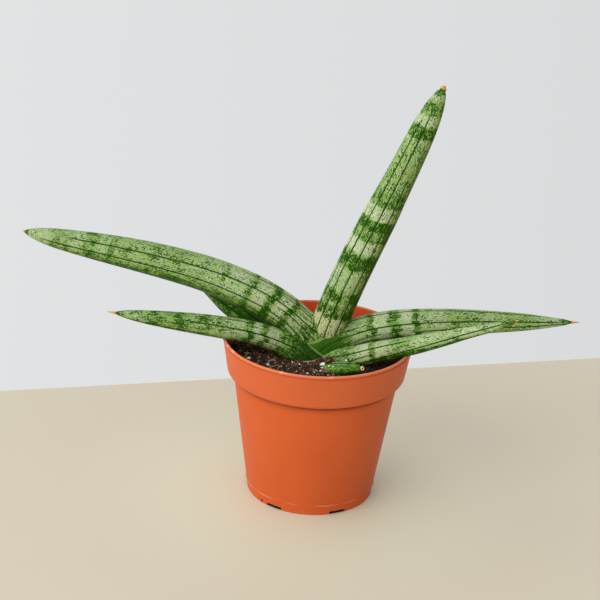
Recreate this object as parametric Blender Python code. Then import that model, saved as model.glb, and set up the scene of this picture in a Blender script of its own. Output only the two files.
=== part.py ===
"""Potted snake plant: a young cylindrical snake plant in a moulded plastic nursery pot.

The origin is the centre of the pot's foot, +Z is up, and -Y is the side that faces the viewer.
Sizes are in millimetres and are turned to metres where a mesh is made.
"""

import math
from dataclasses import dataclass

import bmesh
import bpy
from mathutils import Matrix, Vector, noise

MM = 0.001

# Fits
GAP = 0.35  # between two pieces that touch

# Pot
POT_HEIGHT = 92.0
LIP_RADIUS = 52.5
WALL = 1.2
BEAD_HEIGHT = 1.4  # the small rounded bead that runs round the lip
BEAD_PROUD = 0.35  # how far it stands out from the band
BAND_FOOT = (49.2, 72.8)  # radius and height where the rim band ends
SHOULDER_FOOT = (45.8, 69.8)  # radius and height where the shoulder meets the body
SHOULDER_BULGE = (48.7, 70.6)  # the shoulder bows out towards this radius and height
PARTING = (36.4, 6.0)  # radius and height of the mould's parting line
FOOT_RADIUS = 35.8
FOOT_RING = 2.6  # width of the ring that the pot stands on
FLOOR_LIFT = 2.2  # the floor between the foot ring and the centre pad clears the table by this
CENTRE_PAD = 12.0  # radius of the pad in the middle of the floor, which stands on the table
PAD_SLOPE = 1.4  # width of the slope round the pad
NOTCH_COUNT = 6
NOTCH_WIDTH = 10.6
NOTCH_HEIGHT = 1.9
NOTCH_TURN = math.radians(-123.2)  # azimuth of the first notch
DRAIN_RADIUS = 3.2
DRAIN_CIRCLE = 26.0  # radius of the circle that the drain holes lie on
DRAIN_SIDES = 16
POT_SIDES = 72
OVERCUT = 2.0  # how far a cutter reaches past the face that it opens

# Soil
SOIL_LEVEL = 80.0  # at the wall
SOIL_MOUND = 1.5  # how much higher it stands at the middle
SOIL_BUMP = 0.7
SOIL_LUMPS = ((0.13, 1.0, 2.7), (0.31, 0.6, 8.1))  # waves per millimetre, share of the bump, seed
SOIL_SIDES = 48
SOIL_RINGS = 9
SOIL_FLOOR = FLOOR_LIFT + WALL + GAP

# Rhizome, the stem under the soil that the leaves stand on
CROWN_TOP = 61.6
CROWN_RADIUS = 16.0
CROWN_DEPTH = 17.0
CROWN_SECTION = ((0.45, 15.0), (0.85, 9.0), (1.0, 3.0))  # share of the radius, depth below the top
CROWN_PLACE = Vector((0.0, 5.0, 0.0))
CROWN_SIDES = 20
RUNNER_RADIUS = 6.0
RUNNER_END = Vector((-24.0, 17.0, 52.0))
RUNNER_SECTION = ((0.0, 1.0), (0.35, 0.92), (0.7, 1.0), (0.9, 0.85), (1.0, 0.45))  # share along, of radius
RUNNER_SIDES = 14
END_DOME = 0.3  # height of a round end, as a share of its radius

# Leaves
LEAF_FOOT = CROWN_TOP + GAP
LEAF_SIDES = 22
LEAF_STATIONS = 25
TIP_CROWDING = 0.55  # how much closer together the stations are towards the tip
FOOT_CROWDING = 0.45  # and towards the foot
SPINE_STEPS = 400
FOOT_SHARE = 0.78  # size of a leaf's very foot, as a share of its clasping base
FOOT_RISE = 12.0  # how far above the foot the base is full
CLASP_SQUARENESS = 1.0  # 0 is an ellipse, more is nearer to a rounded rectangle
CLASP_HOLD = 0.35  # share of the clasp's length that keeps its whole width
TIP_ROUNDING = 0.55  # 1 is a straight cone at the tip, less is rounder
GROOVE_SPREAD = 0.75  # radians to each side of the top
GROOVE_HOLD = 0.25  # share of the groove's length that keeps its whole depth
SPIKE_LENGTH = 3.0
SPIKE_RADIUS = 0.65
SPIKE_POINT = 0.25  # size of the spike's point, as a share of its radius
FOOT_DROP = 1.5  # how far a grown copy reaches below its leaf, into the crown's own hole in the soil
FOOT_STAGGER = 0.4  # and how much further for each next leaf, so that no two copies end at one height

TERRACOTTA = (0.72, 0.19, 0.08, 1.0)
SOIL_BROWN = (0.05, 0.03, 0.02, 1.0)
LEAF_GREEN = (0.20, 0.36, 0.12, 1.0)
YOUNG_GREEN = (0.12, 0.34, 0.07, 1.0)
ROOT_CREAM = (0.62, 0.47, 0.28, 1.0)


@dataclass(frozen=True)
class Leaf:
    """One leaf, round in section, on a smooth curve through the pull points of its spine."""

    name: str
    spine: tuple  # pull points from the foot to the tip
    radius: float  # of the full round part
    clasp: tuple  # reach of the clasping base to front and back, to the shoot's middle, and outwards
    clasp_end: float  # how far along the leaf it has become round
    channel: float = 0.0  # depth of the groove on the upper face at the base, as a share of radius
    channel_end: float = 1.0  # how far along the leaf the groove has closed
    taper: float = 3.0  # higher keeps the leaf full for longer before the tip
    spike: float = SPIKE_LENGTH


# From the youngest, in the middle, to the oldest: each one clasps those listed before it.
LEAVES = (
    Leaf(
        name="leaf_upright",
        spine=((-1, 6, LEAF_FOOT), (-1, 6, 95), (31, 8, 163), (59, 10, 236)),
        radius=9.9,
        clasp=(7.6, 7.6, 7.6),
        clasp_end=30.0,
        spike=1.6,
    ),
    Leaf(
        name="leaf_left_upper",
        spine=((-2.5, 6, LEAF_FOOT), (-2.5, 6, 96), (-4, 6, 119), (-94, 12, 128.5), (-166, 16, 139)),
        radius=10.7,
        clasp=(11.2, 24.0, 10.0),
        clasp_end=40.0,
        taper=3.1,
    ),
    Leaf(
        name="leaf_right_upper",
        spine=((0.5, 5, LEAF_FOOT), (0.5, 5, 108), (58, 6.5, 102.2), (143, 20, 102.3)),
        radius=8.8,
        clasp=(12.8, 20.5, 11.0),
        clasp_end=40.0,
    ),
    Leaf(
        name="leaf_left_lower",
        spine=((-3, 4.5, LEAF_FOOT), (-3, 4.5, 92), (-42, -8, 98.3), (-58, -12, 101.0), (-114.3, -18, 108.1)),
        radius=6.9,
        clasp=(15.0, 16.5, 10.0),
        clasp_end=38.0,
        taper=2.9,
        spike=5.0,
    ),
    Leaf(
        name="leaf_right_lower",
        spine=((3, 4, LEAF_FOOT), (3, 4, 83), (42.5, -20.5, 94.7), (105, -30, 122.3)),
        radius=7.0,
        clasp=(16.0, 15.0, 10.0),
        clasp_end=34.0,
        taper=1.4,
    ),
    Leaf(
        name="leaf_back",
        spine=((-4, 9, LEAF_FOOT), (-4, 9, 88), (-65, 19.5, 102), (-75, 36, 117)),
        radius=7.2,
        clasp=(14.0, 15.0, 11.0),
        clasp_end=40.0,
        channel=0.55,
        channel_end=110.0,
    ),
    Leaf(
        name="leaf_short",
        spine=((1, -13, 72), (0, -15, 82), (12, -20, 86.2), (26.2, -21.5, 85.0)),
        radius=3.6,
        clasp=(3.2, 3.2, 3.2),
        clasp_end=10.0,
        taper=9.0,
        spike=0.8,
    ),
)


def clear_scene():
    """Removes the objects of the scene that Blender opens with."""
    for obj in list(bpy.data.objects):
        bpy.data.objects.remove(obj)


def material(name, color, roughness):
    """A Principled material with one colour and no metal."""
    made = bpy.data.materials.new(name)
    made.use_nodes = True
    shader = made.node_tree.nodes["Principled BSDF"]
    shader.inputs["Base Color"].default_value = color
    shader.inputs["Roughness"].default_value = roughness
    shader.inputs["Metallic"].default_value = 0.0
    made.diffuse_color = color
    return made


def object_from(name, shape, finish=None):
    """Turns a bmesh in millimetres into an object in metres, shaded smooth."""
    for vertex in shape.verts:
        vertex.co *= MM
    bmesh.ops.recalc_face_normals(shape, faces=shape.faces)
    mesh = bpy.data.meshes.new(name)
    shape.to_mesh(mesh)
    shape.free()
    mesh.shade_smooth()
    mesh.set_sharp_from_angle(angle=math.radians(40))
    made = bpy.data.objects.new(name, mesh)
    bpy.context.scene.collection.objects.link(made)
    if finish:
        mesh.materials.append(finish)
    return made


def as_cutter(obj):
    """Marks an object as a helper, which is not a piece of the plant."""
    obj.hide_render = True
    obj.display_type = "WIRE"
    return obj


def combine(obj, operation, others, solver="EXACT"):
    """Applies a Boolean with each of the others to the object's own mesh, and keeps its largest body."""
    for other in others:
        modifier = obj.modifiers.new(operation.title(), "BOOLEAN")
        modifier.operation = operation
        modifier.solver = solver
        modifier.object = other
    graph = bpy.context.evaluated_depsgraph_get()
    result = bpy.data.meshes.new_from_object(obj.evaluated_get(graph))
    obj.modifiers.clear()
    obj.data = result
    keep_largest_body(result)


def keep_largest_body(mesh):
    """Drops the loose scraps that a cut leaves."""
    shape = bmesh.new()
    shape.from_mesh(mesh)
    unseen = set(shape.verts)
    bodies = []
    while unseen:
        front = [unseen.pop()]
        body = set(front)
        while front:
            vertex = front.pop()
            for edge in vertex.link_edges:
                other = edge.other_vert(vertex)
                if other in unseen:
                    unseen.discard(other)
                    body.add(other)
                    front.append(other)
        bodies.append(body)
    largest = max(bodies, key=len)
    scraps = [vertex for body in bodies if body is not largest for vertex in body]
    bmesh.ops.delete(shape, geom=scraps, context="VERTS")
    shape.to_mesh(mesh)
    shape.free()


def smoothstep(low, high, value):
    """0 below low, 1 above high, and a smooth rise between."""
    share = min(1.0, max(0.0, (value - low) / (high - low)))
    return share * share * (3.0 - 2.0 * share)


def lathe(profile, sides):
    """A closed turned solid. The profile runs from the axis round to the axis as (radius, height)."""
    shape = bmesh.new()
    rings = []
    for radius, height in profile:
        if radius == 0.0:
            rings.append([shape.verts.new((0.0, 0.0, height))])
            continue
        turns = [2.0 * math.pi * i / sides for i in range(sides)]
        rings.append([shape.verts.new((radius * math.cos(a), radius * math.sin(a), height)) for a in turns])
    for lower, upper in zip(rings, rings[1:]):
        join_rings(shape, lower, upper)
    return shape


def join_rings(shape, lower, upper):
    """Fills the strip between two rings, either of which may be a single point."""
    count = max(len(lower), len(upper))
    for i in range(count):
        j = (i + 1) % count
        if len(lower) == 1:
            shape.faces.new((lower[0], upper[j], upper[i]))
        elif len(upper) == 1:
            shape.faces.new((lower[i], lower[j], upper[0]))
        else:
            shape.faces.new((lower[i], lower[j], upper[j], upper[i]))


def arc(start, end, bulge, steps):
    """Points on a curve from start to end that bows out towards the bulge point, without the start."""
    points = []
    for i in range(1, steps + 1):
        t = i / steps
        points.append(
            tuple((1 - t) ** 2 * a + 2 * (1 - t) * t * c + t * t * b for a, b, c in zip(start, end, bulge))
        )
    return points


def inner_wall_radius(height):
    """Radius of the pot's inside at a height above the floor."""
    body_slope = (SHOULDER_FOOT[0] - PARTING[0]) / (SHOULDER_FOOT[1] - PARTING[1])
    band_slope = (LIP_RADIUS - BAND_FOOT[0]) / (POT_HEIGHT - BAND_FOOT[1])
    if height <= SHOULDER_FOOT[1]:
        return PARTING[0] + body_slope * (height - PARTING[1]) - WALL
    if height >= BAND_FOOT[1]:
        return BAND_FOOT[0] + band_slope * (height - BAND_FOOT[1]) - WALL
    share = (height - SHOULDER_FOOT[1]) / (BAND_FOOT[1] - SHOULDER_FOOT[1])
    return SHOULDER_FOOT[0] + share * (BAND_FOOT[0] - SHOULDER_FOOT[0]) - WALL


def pot_profile():
    """The pot's section, from the middle of the underside, up the outside, and back down the inside."""
    floor_top = FLOOR_LIFT + WALL
    bead_foot = (LIP_RADIUS - BEAD_PROUD, POT_HEIGHT - BEAD_HEIGHT)
    bead_top = (LIP_RADIUS - WALL / 2, POT_HEIGHT)
    underside = [
        (0.0, 0.0),
        (CENTRE_PAD, 0.0),
        (CENTRE_PAD + PAD_SLOPE, FLOOR_LIFT),
        (FOOT_RADIUS - FOOT_RING, FLOOR_LIFT),
        (FOOT_RADIUS - FOOT_RING, 0.0),
    ]
    outside = [(FOOT_RADIUS, 0.0), PARTING, SHOULDER_FOOT]
    outside += arc(SHOULDER_FOOT, BAND_FOOT, SHOULDER_BULGE, 4)
    outside += [bead_foot]
    outside += arc(bead_foot, bead_top, (LIP_RADIUS, POT_HEIGHT), 3)
    inside = [
        (LIP_RADIUS - WALL, POT_HEIGHT),
        (inner_wall_radius(BAND_FOOT[1]), BAND_FOOT[1]),
        (inner_wall_radius(SHOULDER_FOOT[1]), SHOULDER_FOOT[1]),
        (inner_wall_radius(floor_top), floor_top),
        (CENTRE_PAD, floor_top),
        (CENTRE_PAD - PAD_SLOPE, WALL),
        (0.0, WALL),
    ]
    return underside + outside + inside


def box_cutter(name, centre, size, turn):
    """A box in millimetres, turned about the vertical."""
    shape = bmesh.new()
    bmesh.ops.create_cube(shape, size=1.0)
    bmesh.ops.scale(shape, verts=shape.verts, vec=size)
    bmesh.ops.rotate(shape, verts=shape.verts, matrix=Matrix.Rotation(turn, 3, "Z"))
    bmesh.ops.translate(shape, verts=shape.verts, vec=centre)
    return as_cutter(object_from(name, shape))


def drain_cutter(name, turn):
    """A round cutter through the floor at one azimuth."""
    bottom = (DRAIN_RADIUS, FLOOR_LIFT - OVERCUT)
    top = (DRAIN_RADIUS, FLOOR_LIFT + WALL + OVERCUT)
    shape = lathe([(0.0, bottom[1]), bottom, top, (0.0, top[1])], DRAIN_SIDES)
    centre = Vector((DRAIN_CIRCLE * math.cos(turn), DRAIN_CIRCLE * math.sin(turn), 0.0))
    bmesh.ops.translate(shape, verts=shape.verts, vec=centre)
    return as_cutter(object_from(name, shape))


def build_pot(finish):
    """The moulded pot: tapered body, rim band, foot ring with notches, and drain holes in the floor."""
    pot = object_from("pot", lathe(pot_profile(), POT_SIDES), finish)
    cutters = []
    for i in range(NOTCH_COUNT):
        turn = NOTCH_TURN + 2.0 * math.pi * i / NOTCH_COUNT
        reach = FOOT_RADIUS - FOOT_RING / 2
        centre = (reach * math.cos(turn), reach * math.sin(turn), (NOTCH_HEIGHT - OVERCUT) / 2)
        size = (FOOT_RING + 2.0 * OVERCUT, NOTCH_WIDTH, NOTCH_HEIGHT + OVERCUT)
        cutters.append(box_cutter(f"notch_cutter_{i}", centre, size, turn))
        cutters.append(drain_cutter(f"drain_cutter_{i}", turn))
    combine(pot, "DIFFERENCE", cutters)
    return pot


def soil_top(x, y):
    """Height of the soil's surface at a place in the pot."""
    reach = math.hypot(x, y) / inner_wall_radius(SOIL_LEVEL)
    lump = 0.0
    for waves, share, seed in SOIL_LUMPS:
        lump += share * noise.noise(Vector((x * waves, y * waves, seed)))
    return SOIL_LEVEL + SOIL_MOUND * (1.0 - reach * reach) + SOIL_BUMP * lump


def build_soil(finish, hollows):
    """The plug of potting mix, with a hole for each thing that stands in it."""
    corners = [
        (0.0, WALL + GAP),
        (CENTRE_PAD - PAD_SLOPE - GAP, WALL + GAP),
        (CENTRE_PAD - GAP, SOIL_FLOOR),
        (inner_wall_radius(SOIL_FLOOR) - GAP, SOIL_FLOOR),
        (inner_wall_radius(SHOULDER_FOOT[1]) - GAP, SHOULDER_FOOT[1] + GAP / 2),
        (inner_wall_radius(BAND_FOOT[1]) - GAP, BAND_FOOT[1] + GAP / 2),
    ]
    edge = inner_wall_radius(SOIL_LEVEL - 2.0 * SOIL_BUMP) - GAP
    tops = [(edge * (1.0 - i / SOIL_RINGS), SOIL_LEVEL) for i in range(SOIL_RINGS)]
    shape = lathe(corners + tops + [(0.0, SOIL_LEVEL)], SOIL_SIDES)
    for vertex in shape.verts:
        if vertex.co.z > SOIL_LEVEL - GAP:
            vertex.co.z = soil_top(vertex.co.x, vertex.co.y)
    soil = object_from("soil", shape, finish)
    combine(soil, "DIFFERENCE", hollows, solver="MANIFOLD")
    return soil


def tube(points, radii, sides):
    """A closed round solid along a few points, with a point at each end."""
    shape = bmesh.new()
    along = (points[-1] - points[0]).normalized()
    side = along.cross(Vector((0.0, 0.0, 1.0))).normalized()
    up = side.cross(along)
    rings = [[shape.verts.new(points[0] - along * radii[0] * END_DOME)]]
    for point, radius in zip(points, radii):
        ring = []
        for i in range(sides):
            turn = 2.0 * math.pi * i / sides
            ring.append(shape.verts.new(point + (side * math.cos(turn) + up * math.sin(turn)) * radius))
        rings.append(ring)
    rings.append([shape.verts.new(points[-1] + along * radii[-1] * END_DOME)])
    for lower, upper in zip(rings, rings[1:]):
        join_rings(shape, lower, upper)
    return shape


def rhizome_shapes(grow):
    """The crown that the leaves stand on, and the runner that grows out of its side, as two bmeshes."""
    radius = CROWN_RADIUS + grow
    section = [(0.0, CROWN_TOP - CROWN_DEPTH - grow)]
    section += [(radius * share, CROWN_TOP - depth - grow) for share, depth in CROWN_SECTION]
    section += [(radius, CROWN_TOP + grow), (0.0, CROWN_TOP + grow)]
    crown = lathe(section, CROWN_SIDES)
    bmesh.ops.translate(crown, verts=crown.verts, vec=CROWN_PLACE)
    start = Vector((CROWN_PLACE.x, CROWN_PLACE.y, RUNNER_END.z))
    points = [start.lerp(RUNNER_END, along) for along, share in RUNNER_SECTION]
    radii = [RUNNER_RADIUS * share + grow for along, share in RUNNER_SECTION]
    return crown, tube(points, radii, RUNNER_SIDES)


def build_rhizome(finish, name="rhizome", grow=0.0):
    """The short underground stem, one body."""
    crown, runner = rhizome_shapes(grow)
    made = object_from(name, crown, finish)
    branch = as_cutter(object_from(name + "_runner", runner))
    combine(made, "UNION", [branch])
    bpy.data.objects.remove(branch)
    return made


def spine_point(pulls, t):
    """A point on the smooth curve that a leaf's pull points give, by repeated mixing."""
    points = [Vector(p) for p in pulls]
    while len(points) > 1:
        points = [a.lerp(b, t) for a, b in zip(points, points[1:])]
    return points[0]


def station_distances(leaf, length):
    """Distances from the foot at which the leaf gets a ring."""
    body = length - leaf.spike
    distances = []
    for i in range(LEAF_STATIONS - 2):
        step = i / (LEAF_STATIONS - 3)
        crowded = (1.0 - (1.0 - step) ** 2) * (1.0 - FOOT_CROWDING * (1.0 - step))
        distances.append(body * (step + (crowded - step) * TIP_CROWDING))
    return distances + [body + leaf.spike / 2, length]


def spine_stations(leaf):
    """(point, tangent, distance from the foot) for each ring of a leaf, and the length of its spine."""
    fine = [spine_point(leaf.spine, i / SPINE_STEPS) for i in range(SPINE_STEPS + 1)]
    run = [0.0]
    for a, b in zip(fine, fine[1:]):
        run.append(run[-1] + (b - a).length)
    stations = []
    for goal in station_distances(leaf, run[-1]):
        k = next((j for j in range(1, SPINE_STEPS) if run[j] >= goal), SPINE_STEPS)
        mix = (goal - run[k - 1]) / (run[k] - run[k - 1])
        tangent = (fine[k] - fine[k - 1]).normalized()
        stations.append((fine[k - 1].lerp(fine[k], mix), tangent, goal))
    return stations, run[-1]


def leaf_fullness(leaf, distance, length):
    """Share of its full radius that a leaf has at a distance from its foot: it closes in towards the tip."""
    to_tip = max(0.0, 1.0 - distance / (length - leaf.spike))
    return (1.0 - (1.0 - to_tip) ** leaf.taper) ** TIP_ROUNDING


def leaf_reaches(leaf, clasp, distance, length):
    """How far a leaf's section reaches sideways, to the shoot's middle, and outwards."""
    foot = FOOT_SHARE + (1.0 - FOOT_SHARE) * smoothstep(0.0, FOOT_RISE, distance)
    size = foot * leaf_fullness(leaf, distance, length)
    spike = SPIKE_RADIUS * (1.0 - (1.0 - SPIKE_POINT) * smoothstep(length - leaf.spike, length, distance))
    return [max(spike, (leaf.radius + (reach - leaf.radius) * clasp) * size) for reach in leaf.clasp]


def leaf_ring(leaf, distance, length):
    """Offsets (across, upwards) of a leaf's section at a distance from its foot."""
    clasp = 1.0 - smoothstep(CLASP_HOLD * leaf.clasp_end, leaf.clasp_end, distance)
    wide, inward, outward = leaf_reaches(leaf, clasp, distance, length)
    groove = leaf.channel * (1.0 - smoothstep(GROOVE_HOLD * leaf.channel_end, leaf.channel_end, distance))
    power = 2.0 + clasp * CLASP_SQUARENESS
    ring = []
    for i in range(LEAF_SIDES):
        turn = 2.0 * math.pi * i / LEAF_SIDES
        x, y = math.cos(turn), math.sin(turn)
        off_top = math.atan2(x, y)
        reach = 1.0 - groove * math.exp(-((off_top / GROOVE_SPREAD) ** 2))
        reach /= (abs(x) ** power + abs(y) ** power) ** (1.0 / power)
        ring.append((x * wide * reach, y * (inward if y > 0.0 else outward) * reach))
    return ring


def leaf_shape(leaf, grow=0.0, drop=0.0):
    """The whole leaf, with its surface moved out by grow and its foot moved down by drop."""
    stations, length = spine_stations(leaf)
    heading = Vector(leaf.spine[-1]) - Vector(leaf.spine[0])
    side = Vector((0.0, 0.0, 1.0)).cross(heading).normalized()
    shape = bmesh.new()
    rings = []
    for point, tangent, distance in stations:
        upper = tangent.cross(side).normalized()
        across = upper.cross(tangent)
        offsets = [across * x + upper * y for x, y in leaf_ring(leaf, distance, length)]
        rings.append([shape.verts.new(point + offset + offset.normalized() * grow) for offset in offsets])
    foot = shape.verts.new(stations[0][0])
    for vertex in rings[0] + [foot]:
        vertex.co.z -= drop
    last_point, last_tangent, _ = stations[-1]
    tip = shape.verts.new(last_point + last_tangent * (SPIKE_RADIUS * END_DOME + grow))
    rings = [[foot]] + rings + [[tip]]
    for lower, upper_ring in zip(rings, rings[1:]):
        join_rings(shape, lower, upper_ring)
    return shape


def build_leaves(green, young_green):
    """Every leaf, each one cut clear of the younger ones that it clasps. Returns the grown copies too."""
    grown = []
    for i, leaf in enumerate(LEAVES):
        finish = young_green if leaf.name == "leaf_short" else green
        made = object_from(leaf.name, leaf_shape(leaf), finish)
        if grown:
            combine(made, "DIFFERENCE", grown, solver="MANIFOLD")
        drop = FOOT_DROP + FOOT_STAGGER * i
        grown.append(as_cutter(object_from(leaf.name + "_grown", leaf_shape(leaf, GAP, drop))))
    return grown


def main():
    """Builds the pot, the soil, the rhizome and the leaves."""
    clear_scene()
    terracotta = material("terracotta_plastic", TERRACOTTA, 0.45)
    potting_mix = material("potting_mix", SOIL_BROWN, 0.95)
    green = material("leaf_green", LEAF_GREEN, 0.42)
    young_green = material("young_leaf_green", YOUNG_GREEN, 0.38)
    cream = material("rhizome_cream", ROOT_CREAM, 0.7)
    build_pot(terracotta)
    grown = build_leaves(green, young_green)
    build_rhizome(cream)
    grown.append(as_cutter(build_rhizome(None, "rhizome_grown", GAP)))
    build_soil(potting_mix, grown)


main()
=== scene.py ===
"""Look of the potted snake plant: skins, furrows, bands, pot plastic and loose potting mix.

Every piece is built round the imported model, which stays where it is. Classes hold their sizes in
millimetres, and a mesh is turned to metres when it is made. The origin is the centre of the pot's foot,
+Z is up, and the viewer stands on the -Y side.
"""

import logging
import math
from collections.abc import Mapping, Sequence
from dataclasses import dataclass
from enum import Enum

import bmesh
import bpy
import numpy as np
from mathutils import Matrix, Vector, kdtree, noise
from mathutils.bvhtree import BVHTree


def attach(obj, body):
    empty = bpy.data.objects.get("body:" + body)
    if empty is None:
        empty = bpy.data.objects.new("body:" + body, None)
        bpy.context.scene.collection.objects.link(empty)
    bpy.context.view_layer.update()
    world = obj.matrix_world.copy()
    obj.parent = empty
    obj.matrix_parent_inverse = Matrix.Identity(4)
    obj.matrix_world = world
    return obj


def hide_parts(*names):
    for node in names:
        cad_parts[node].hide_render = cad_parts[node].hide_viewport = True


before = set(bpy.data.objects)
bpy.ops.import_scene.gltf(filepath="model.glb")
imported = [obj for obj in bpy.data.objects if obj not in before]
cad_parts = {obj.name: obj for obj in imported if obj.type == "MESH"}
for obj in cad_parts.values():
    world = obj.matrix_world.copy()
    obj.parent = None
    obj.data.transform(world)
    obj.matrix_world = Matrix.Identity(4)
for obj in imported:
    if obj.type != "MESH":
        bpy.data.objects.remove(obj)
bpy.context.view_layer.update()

MM = 0.001
LOG = logging.getLogger("snake_plant")

Point = tuple[float, float, float]
Flat = tuple[float, float]
Four = tuple[float, float, float, float]  # a colour, a place with a size, or the four numbers of a furrow
Table = tuple[Flat, ...]  # positions in rising order, with the value at each
Socket = bpy.types.NodeSocket
Tree = bpy.types.NodeTree
Object = bpy.types.Object
Face = tuple[int, ...]

TURN = 2.0 * math.pi
BOX_FACES = ((3, 2, 1, 0), (4, 5, 6, 7), (0, 1, 5, 4), (1, 2, 6, 5), (2, 3, 7, 6), (3, 0, 4, 7))


# Colour, node and mesh helpers


def linear(code: str) -> Four:
    """Turns an sRGB hex colour such as "#D2673A" to linear red, green, blue and alpha.

    Args:
        code: The colour, with six hex digits after the mark.

    Returns:
        The four linear values, with alpha 1.
    """
    values = [int(code[i : i + 2], 16) / 255.0 for i in (1, 3, 5)]
    red, green, blue = (v / 12.92 if v <= 0.04045 else ((v + 0.055) / 1.055) ** 2.4 for v in values)
    return (red, green, blue, 1.0)


def fill_inputs(tree: Tree, node: bpy.types.Node, inputs: Mapping[str | int, object]) -> None:
    """Links a socket, or sets a value, at each named input of a node.

    Args:
        tree: The node tree.
        node: The node.
        inputs: For each input, an output socket to link or a value to set.
    """
    for name, value in inputs.items():
        if isinstance(value, Socket):
            tree.links.new(value, node.inputs[name])
        else:
            node.inputs[name].default_value = value


def add_node(
    tree: Tree, kind: str, inputs: Mapping[str | int, object] | None = None, **settings: object
) -> bpy.types.Node:
    """Adds a node with its settings, and with a value or a link at each named input.

    Args:
        tree: The node tree that gets the node.
        kind: Blender's name for the node's type.
        inputs: For each input, an output socket to link or a value to set.
        **settings: Properties of the node itself.

    Returns:
        The new node.
    """
    node = tree.nodes.new(kind)
    for name, value in settings.items():
        setattr(node, name, value)
    fill_inputs(tree, node, inputs or {})
    return node


def start_material(name: str) -> tuple[bpy.types.Material, Tree, bpy.types.Node]:
    """Starts a material.

    Args:
        name: The material's name.

    Returns:
        The material, its node tree and its Principled shader.
    """
    made = bpy.data.materials.new(name)
    made.use_nodes = True
    return made, made.node_tree, made.node_tree.nodes["Principled BSDF"]


def weighted_sum(tree: Tree, mix: Sequence[float], sockets: Sequence[Socket]) -> Socket:
    """Adds up sockets, each times its weight.

    Args:
        tree: The node tree.
        mix: Number that the sum starts with, and then the weight of each socket.
        sockets: What is added up.

    Returns:
        The sum.
    """
    total: float | Socket = mix[0]
    for socket, weight in zip(sockets, mix[1:]):
        inputs = {0: socket, 1: weight, 2: total}
        total = add_node(tree, "ShaderNodeMath", inputs, operation="MULTIPLY_ADD").outputs[0]
    return total


def layered(tree: Tree, ground: Socket | str, layers: Sequence[tuple[Socket, Socket | str]]) -> Socket:
    """Lays colours over a ground, one after another.

    Args:
        tree: The node tree.
        ground: The lowest colour, as a socket or a hex code.
        layers: Share and colour of each layer.

    Returns:
        The colour that shows.
    """
    color = linear(ground) if isinstance(ground, str) else ground
    for share, tint in layers:
        inputs = {0: share, 6: color, 7: linear(tint) if isinstance(tint, str) else tint}
        color = add_node(tree, "ShaderNodeMix", inputs, data_type="RGBA").outputs[2]
    return color


def look_up(table: Table, at: np.ndarray, blur: float) -> np.ndarray:
    """Reads a table of positions and values, smoothed over a distance.

    Args:
        table: The table.
        at: Where to read it.
        blur: How far the smoothing reaches to either side.

    Returns:
        The values.
    """
    places, values = zip(*table)
    return sum(np.interp(at + step, places, values) for step in np.linspace(-blur, blur, 9)) / 9.0


def smoothstep(low: float, high: float, value: np.ndarray) -> np.ndarray:
    """0 below low, 1 above high, and a smooth rise between."""
    share = np.clip((value - low) / (high - low), 0.0, 1.0)
    return share * share * (3.0 - 2.0 * share)


def mesh_object(name: str, points: np.ndarray, faces: Sequence[Sequence[int]], sharp: float = 30.0) -> Object:
    """Makes an object from points in millimetres, shaded smooth, with its faces pointing outwards.

    Args:
        name: Name of the piece.
        points: One row for each point.
        faces: Indices of each face's points.
        sharp: Angle in degrees past which an edge stays sharp.

    Returns:
        The object, linked to the scene.
    """
    mesh = bpy.data.meshes.new(name)
    mesh.from_pydata((np.asarray(points) * MM).tolist(), [], faces)
    shape = bmesh.new()
    shape.from_mesh(mesh)
    if shape.calc_volume(signed=True) < 0.0:
        bmesh.ops.reverse_faces(shape, faces=shape.faces)
        shape.to_mesh(mesh)
    shape.free()
    mesh.shade_smooth()
    mesh.set_sharp_from_angle(angle=math.radians(sharp))
    made = bpy.data.objects.new(name, mesh)
    bpy.context.scene.collection.objects.link(made)
    return made


def set_attribute(mesh: bpy.types.Mesh, name: str, values: np.ndarray) -> None:
    """Stores a number or a vector for each point of a mesh.

    Args:
        mesh: The mesh that gets the attribute.
        name: Name that the material reads.
        values: One value, or one row of three, for each point.
    """
    vector = values.ndim == 2
    layer = mesh.attributes.new(name, "FLOAT_VECTOR" if vector else "FLOAT", "POINT")
    layer.data.foreach_set("vector" if vector else "value", values.astype(np.float32).ravel())


def mesh_points(mesh: bpy.types.Mesh) -> np.ndarray:
    """Reads the points of a mesh.

    Args:
        mesh: The mesh.

    Returns:
        Its points in millimetres, one row each.
    """
    points = np.empty(len(mesh.vertices) * 3, np.float32)
    mesh.vertices.foreach_get("co", points)
    return points.reshape(-1, 3).astype(float) / MM


def tube_faces(rings: int, sides: int) -> list[Face]:
    """Faces of a closed tube whose points are its first end, its rings in order and its last end.

    Args:
        rings: How many rings there are.
        sides: How many points each ring has.

    Returns:
        The faces, as quads between rings and triangles at both ends.
    """
    faces: list[Face] = []
    last = rings * sides + 1
    for j in range(sides):
        k = (j + 1) % sides
        faces.append((0, 1 + k, 1 + j))
        faces.append((last, last - sides + j, last - sides + k))
    for i in range(rings - 1):
        low = 1 + i * sides
        high = low + sides
        faces += [(low + j, low + (j + 1) % sides, high + (j + 1) % sides, high + j) for j in range(sides)]
    return faces


def turned(profile: Sequence[Flat], sides: int) -> tuple[np.ndarray, list[Face]]:
    """Turns a section that starts and ends on the axis into a closed solid.

    Args:
        profile: Radius and height of each point of the section.
        sides: How many sides the solid has.

    Returns:
        Its points and its faces.
    """
    turns = np.linspace(0.0, TURN, sides, endpoint=False)
    inner = np.array(profile[1:-1])
    rings = np.empty((len(inner), sides, 3))
    rings[:, :, 0] = inner[:, :1] * np.cos(turns)
    rings[:, :, 1] = inner[:, :1] * np.sin(turns)
    rings[:, :, 2] = inner[:, 1:]
    first, last = (0.0, 0.0, profile[0][1]), (0.0, 0.0, profile[-1][1])
    return np.vstack([first, rings.reshape(-1, 3), last]), tube_faces(len(inner), sides)


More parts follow.
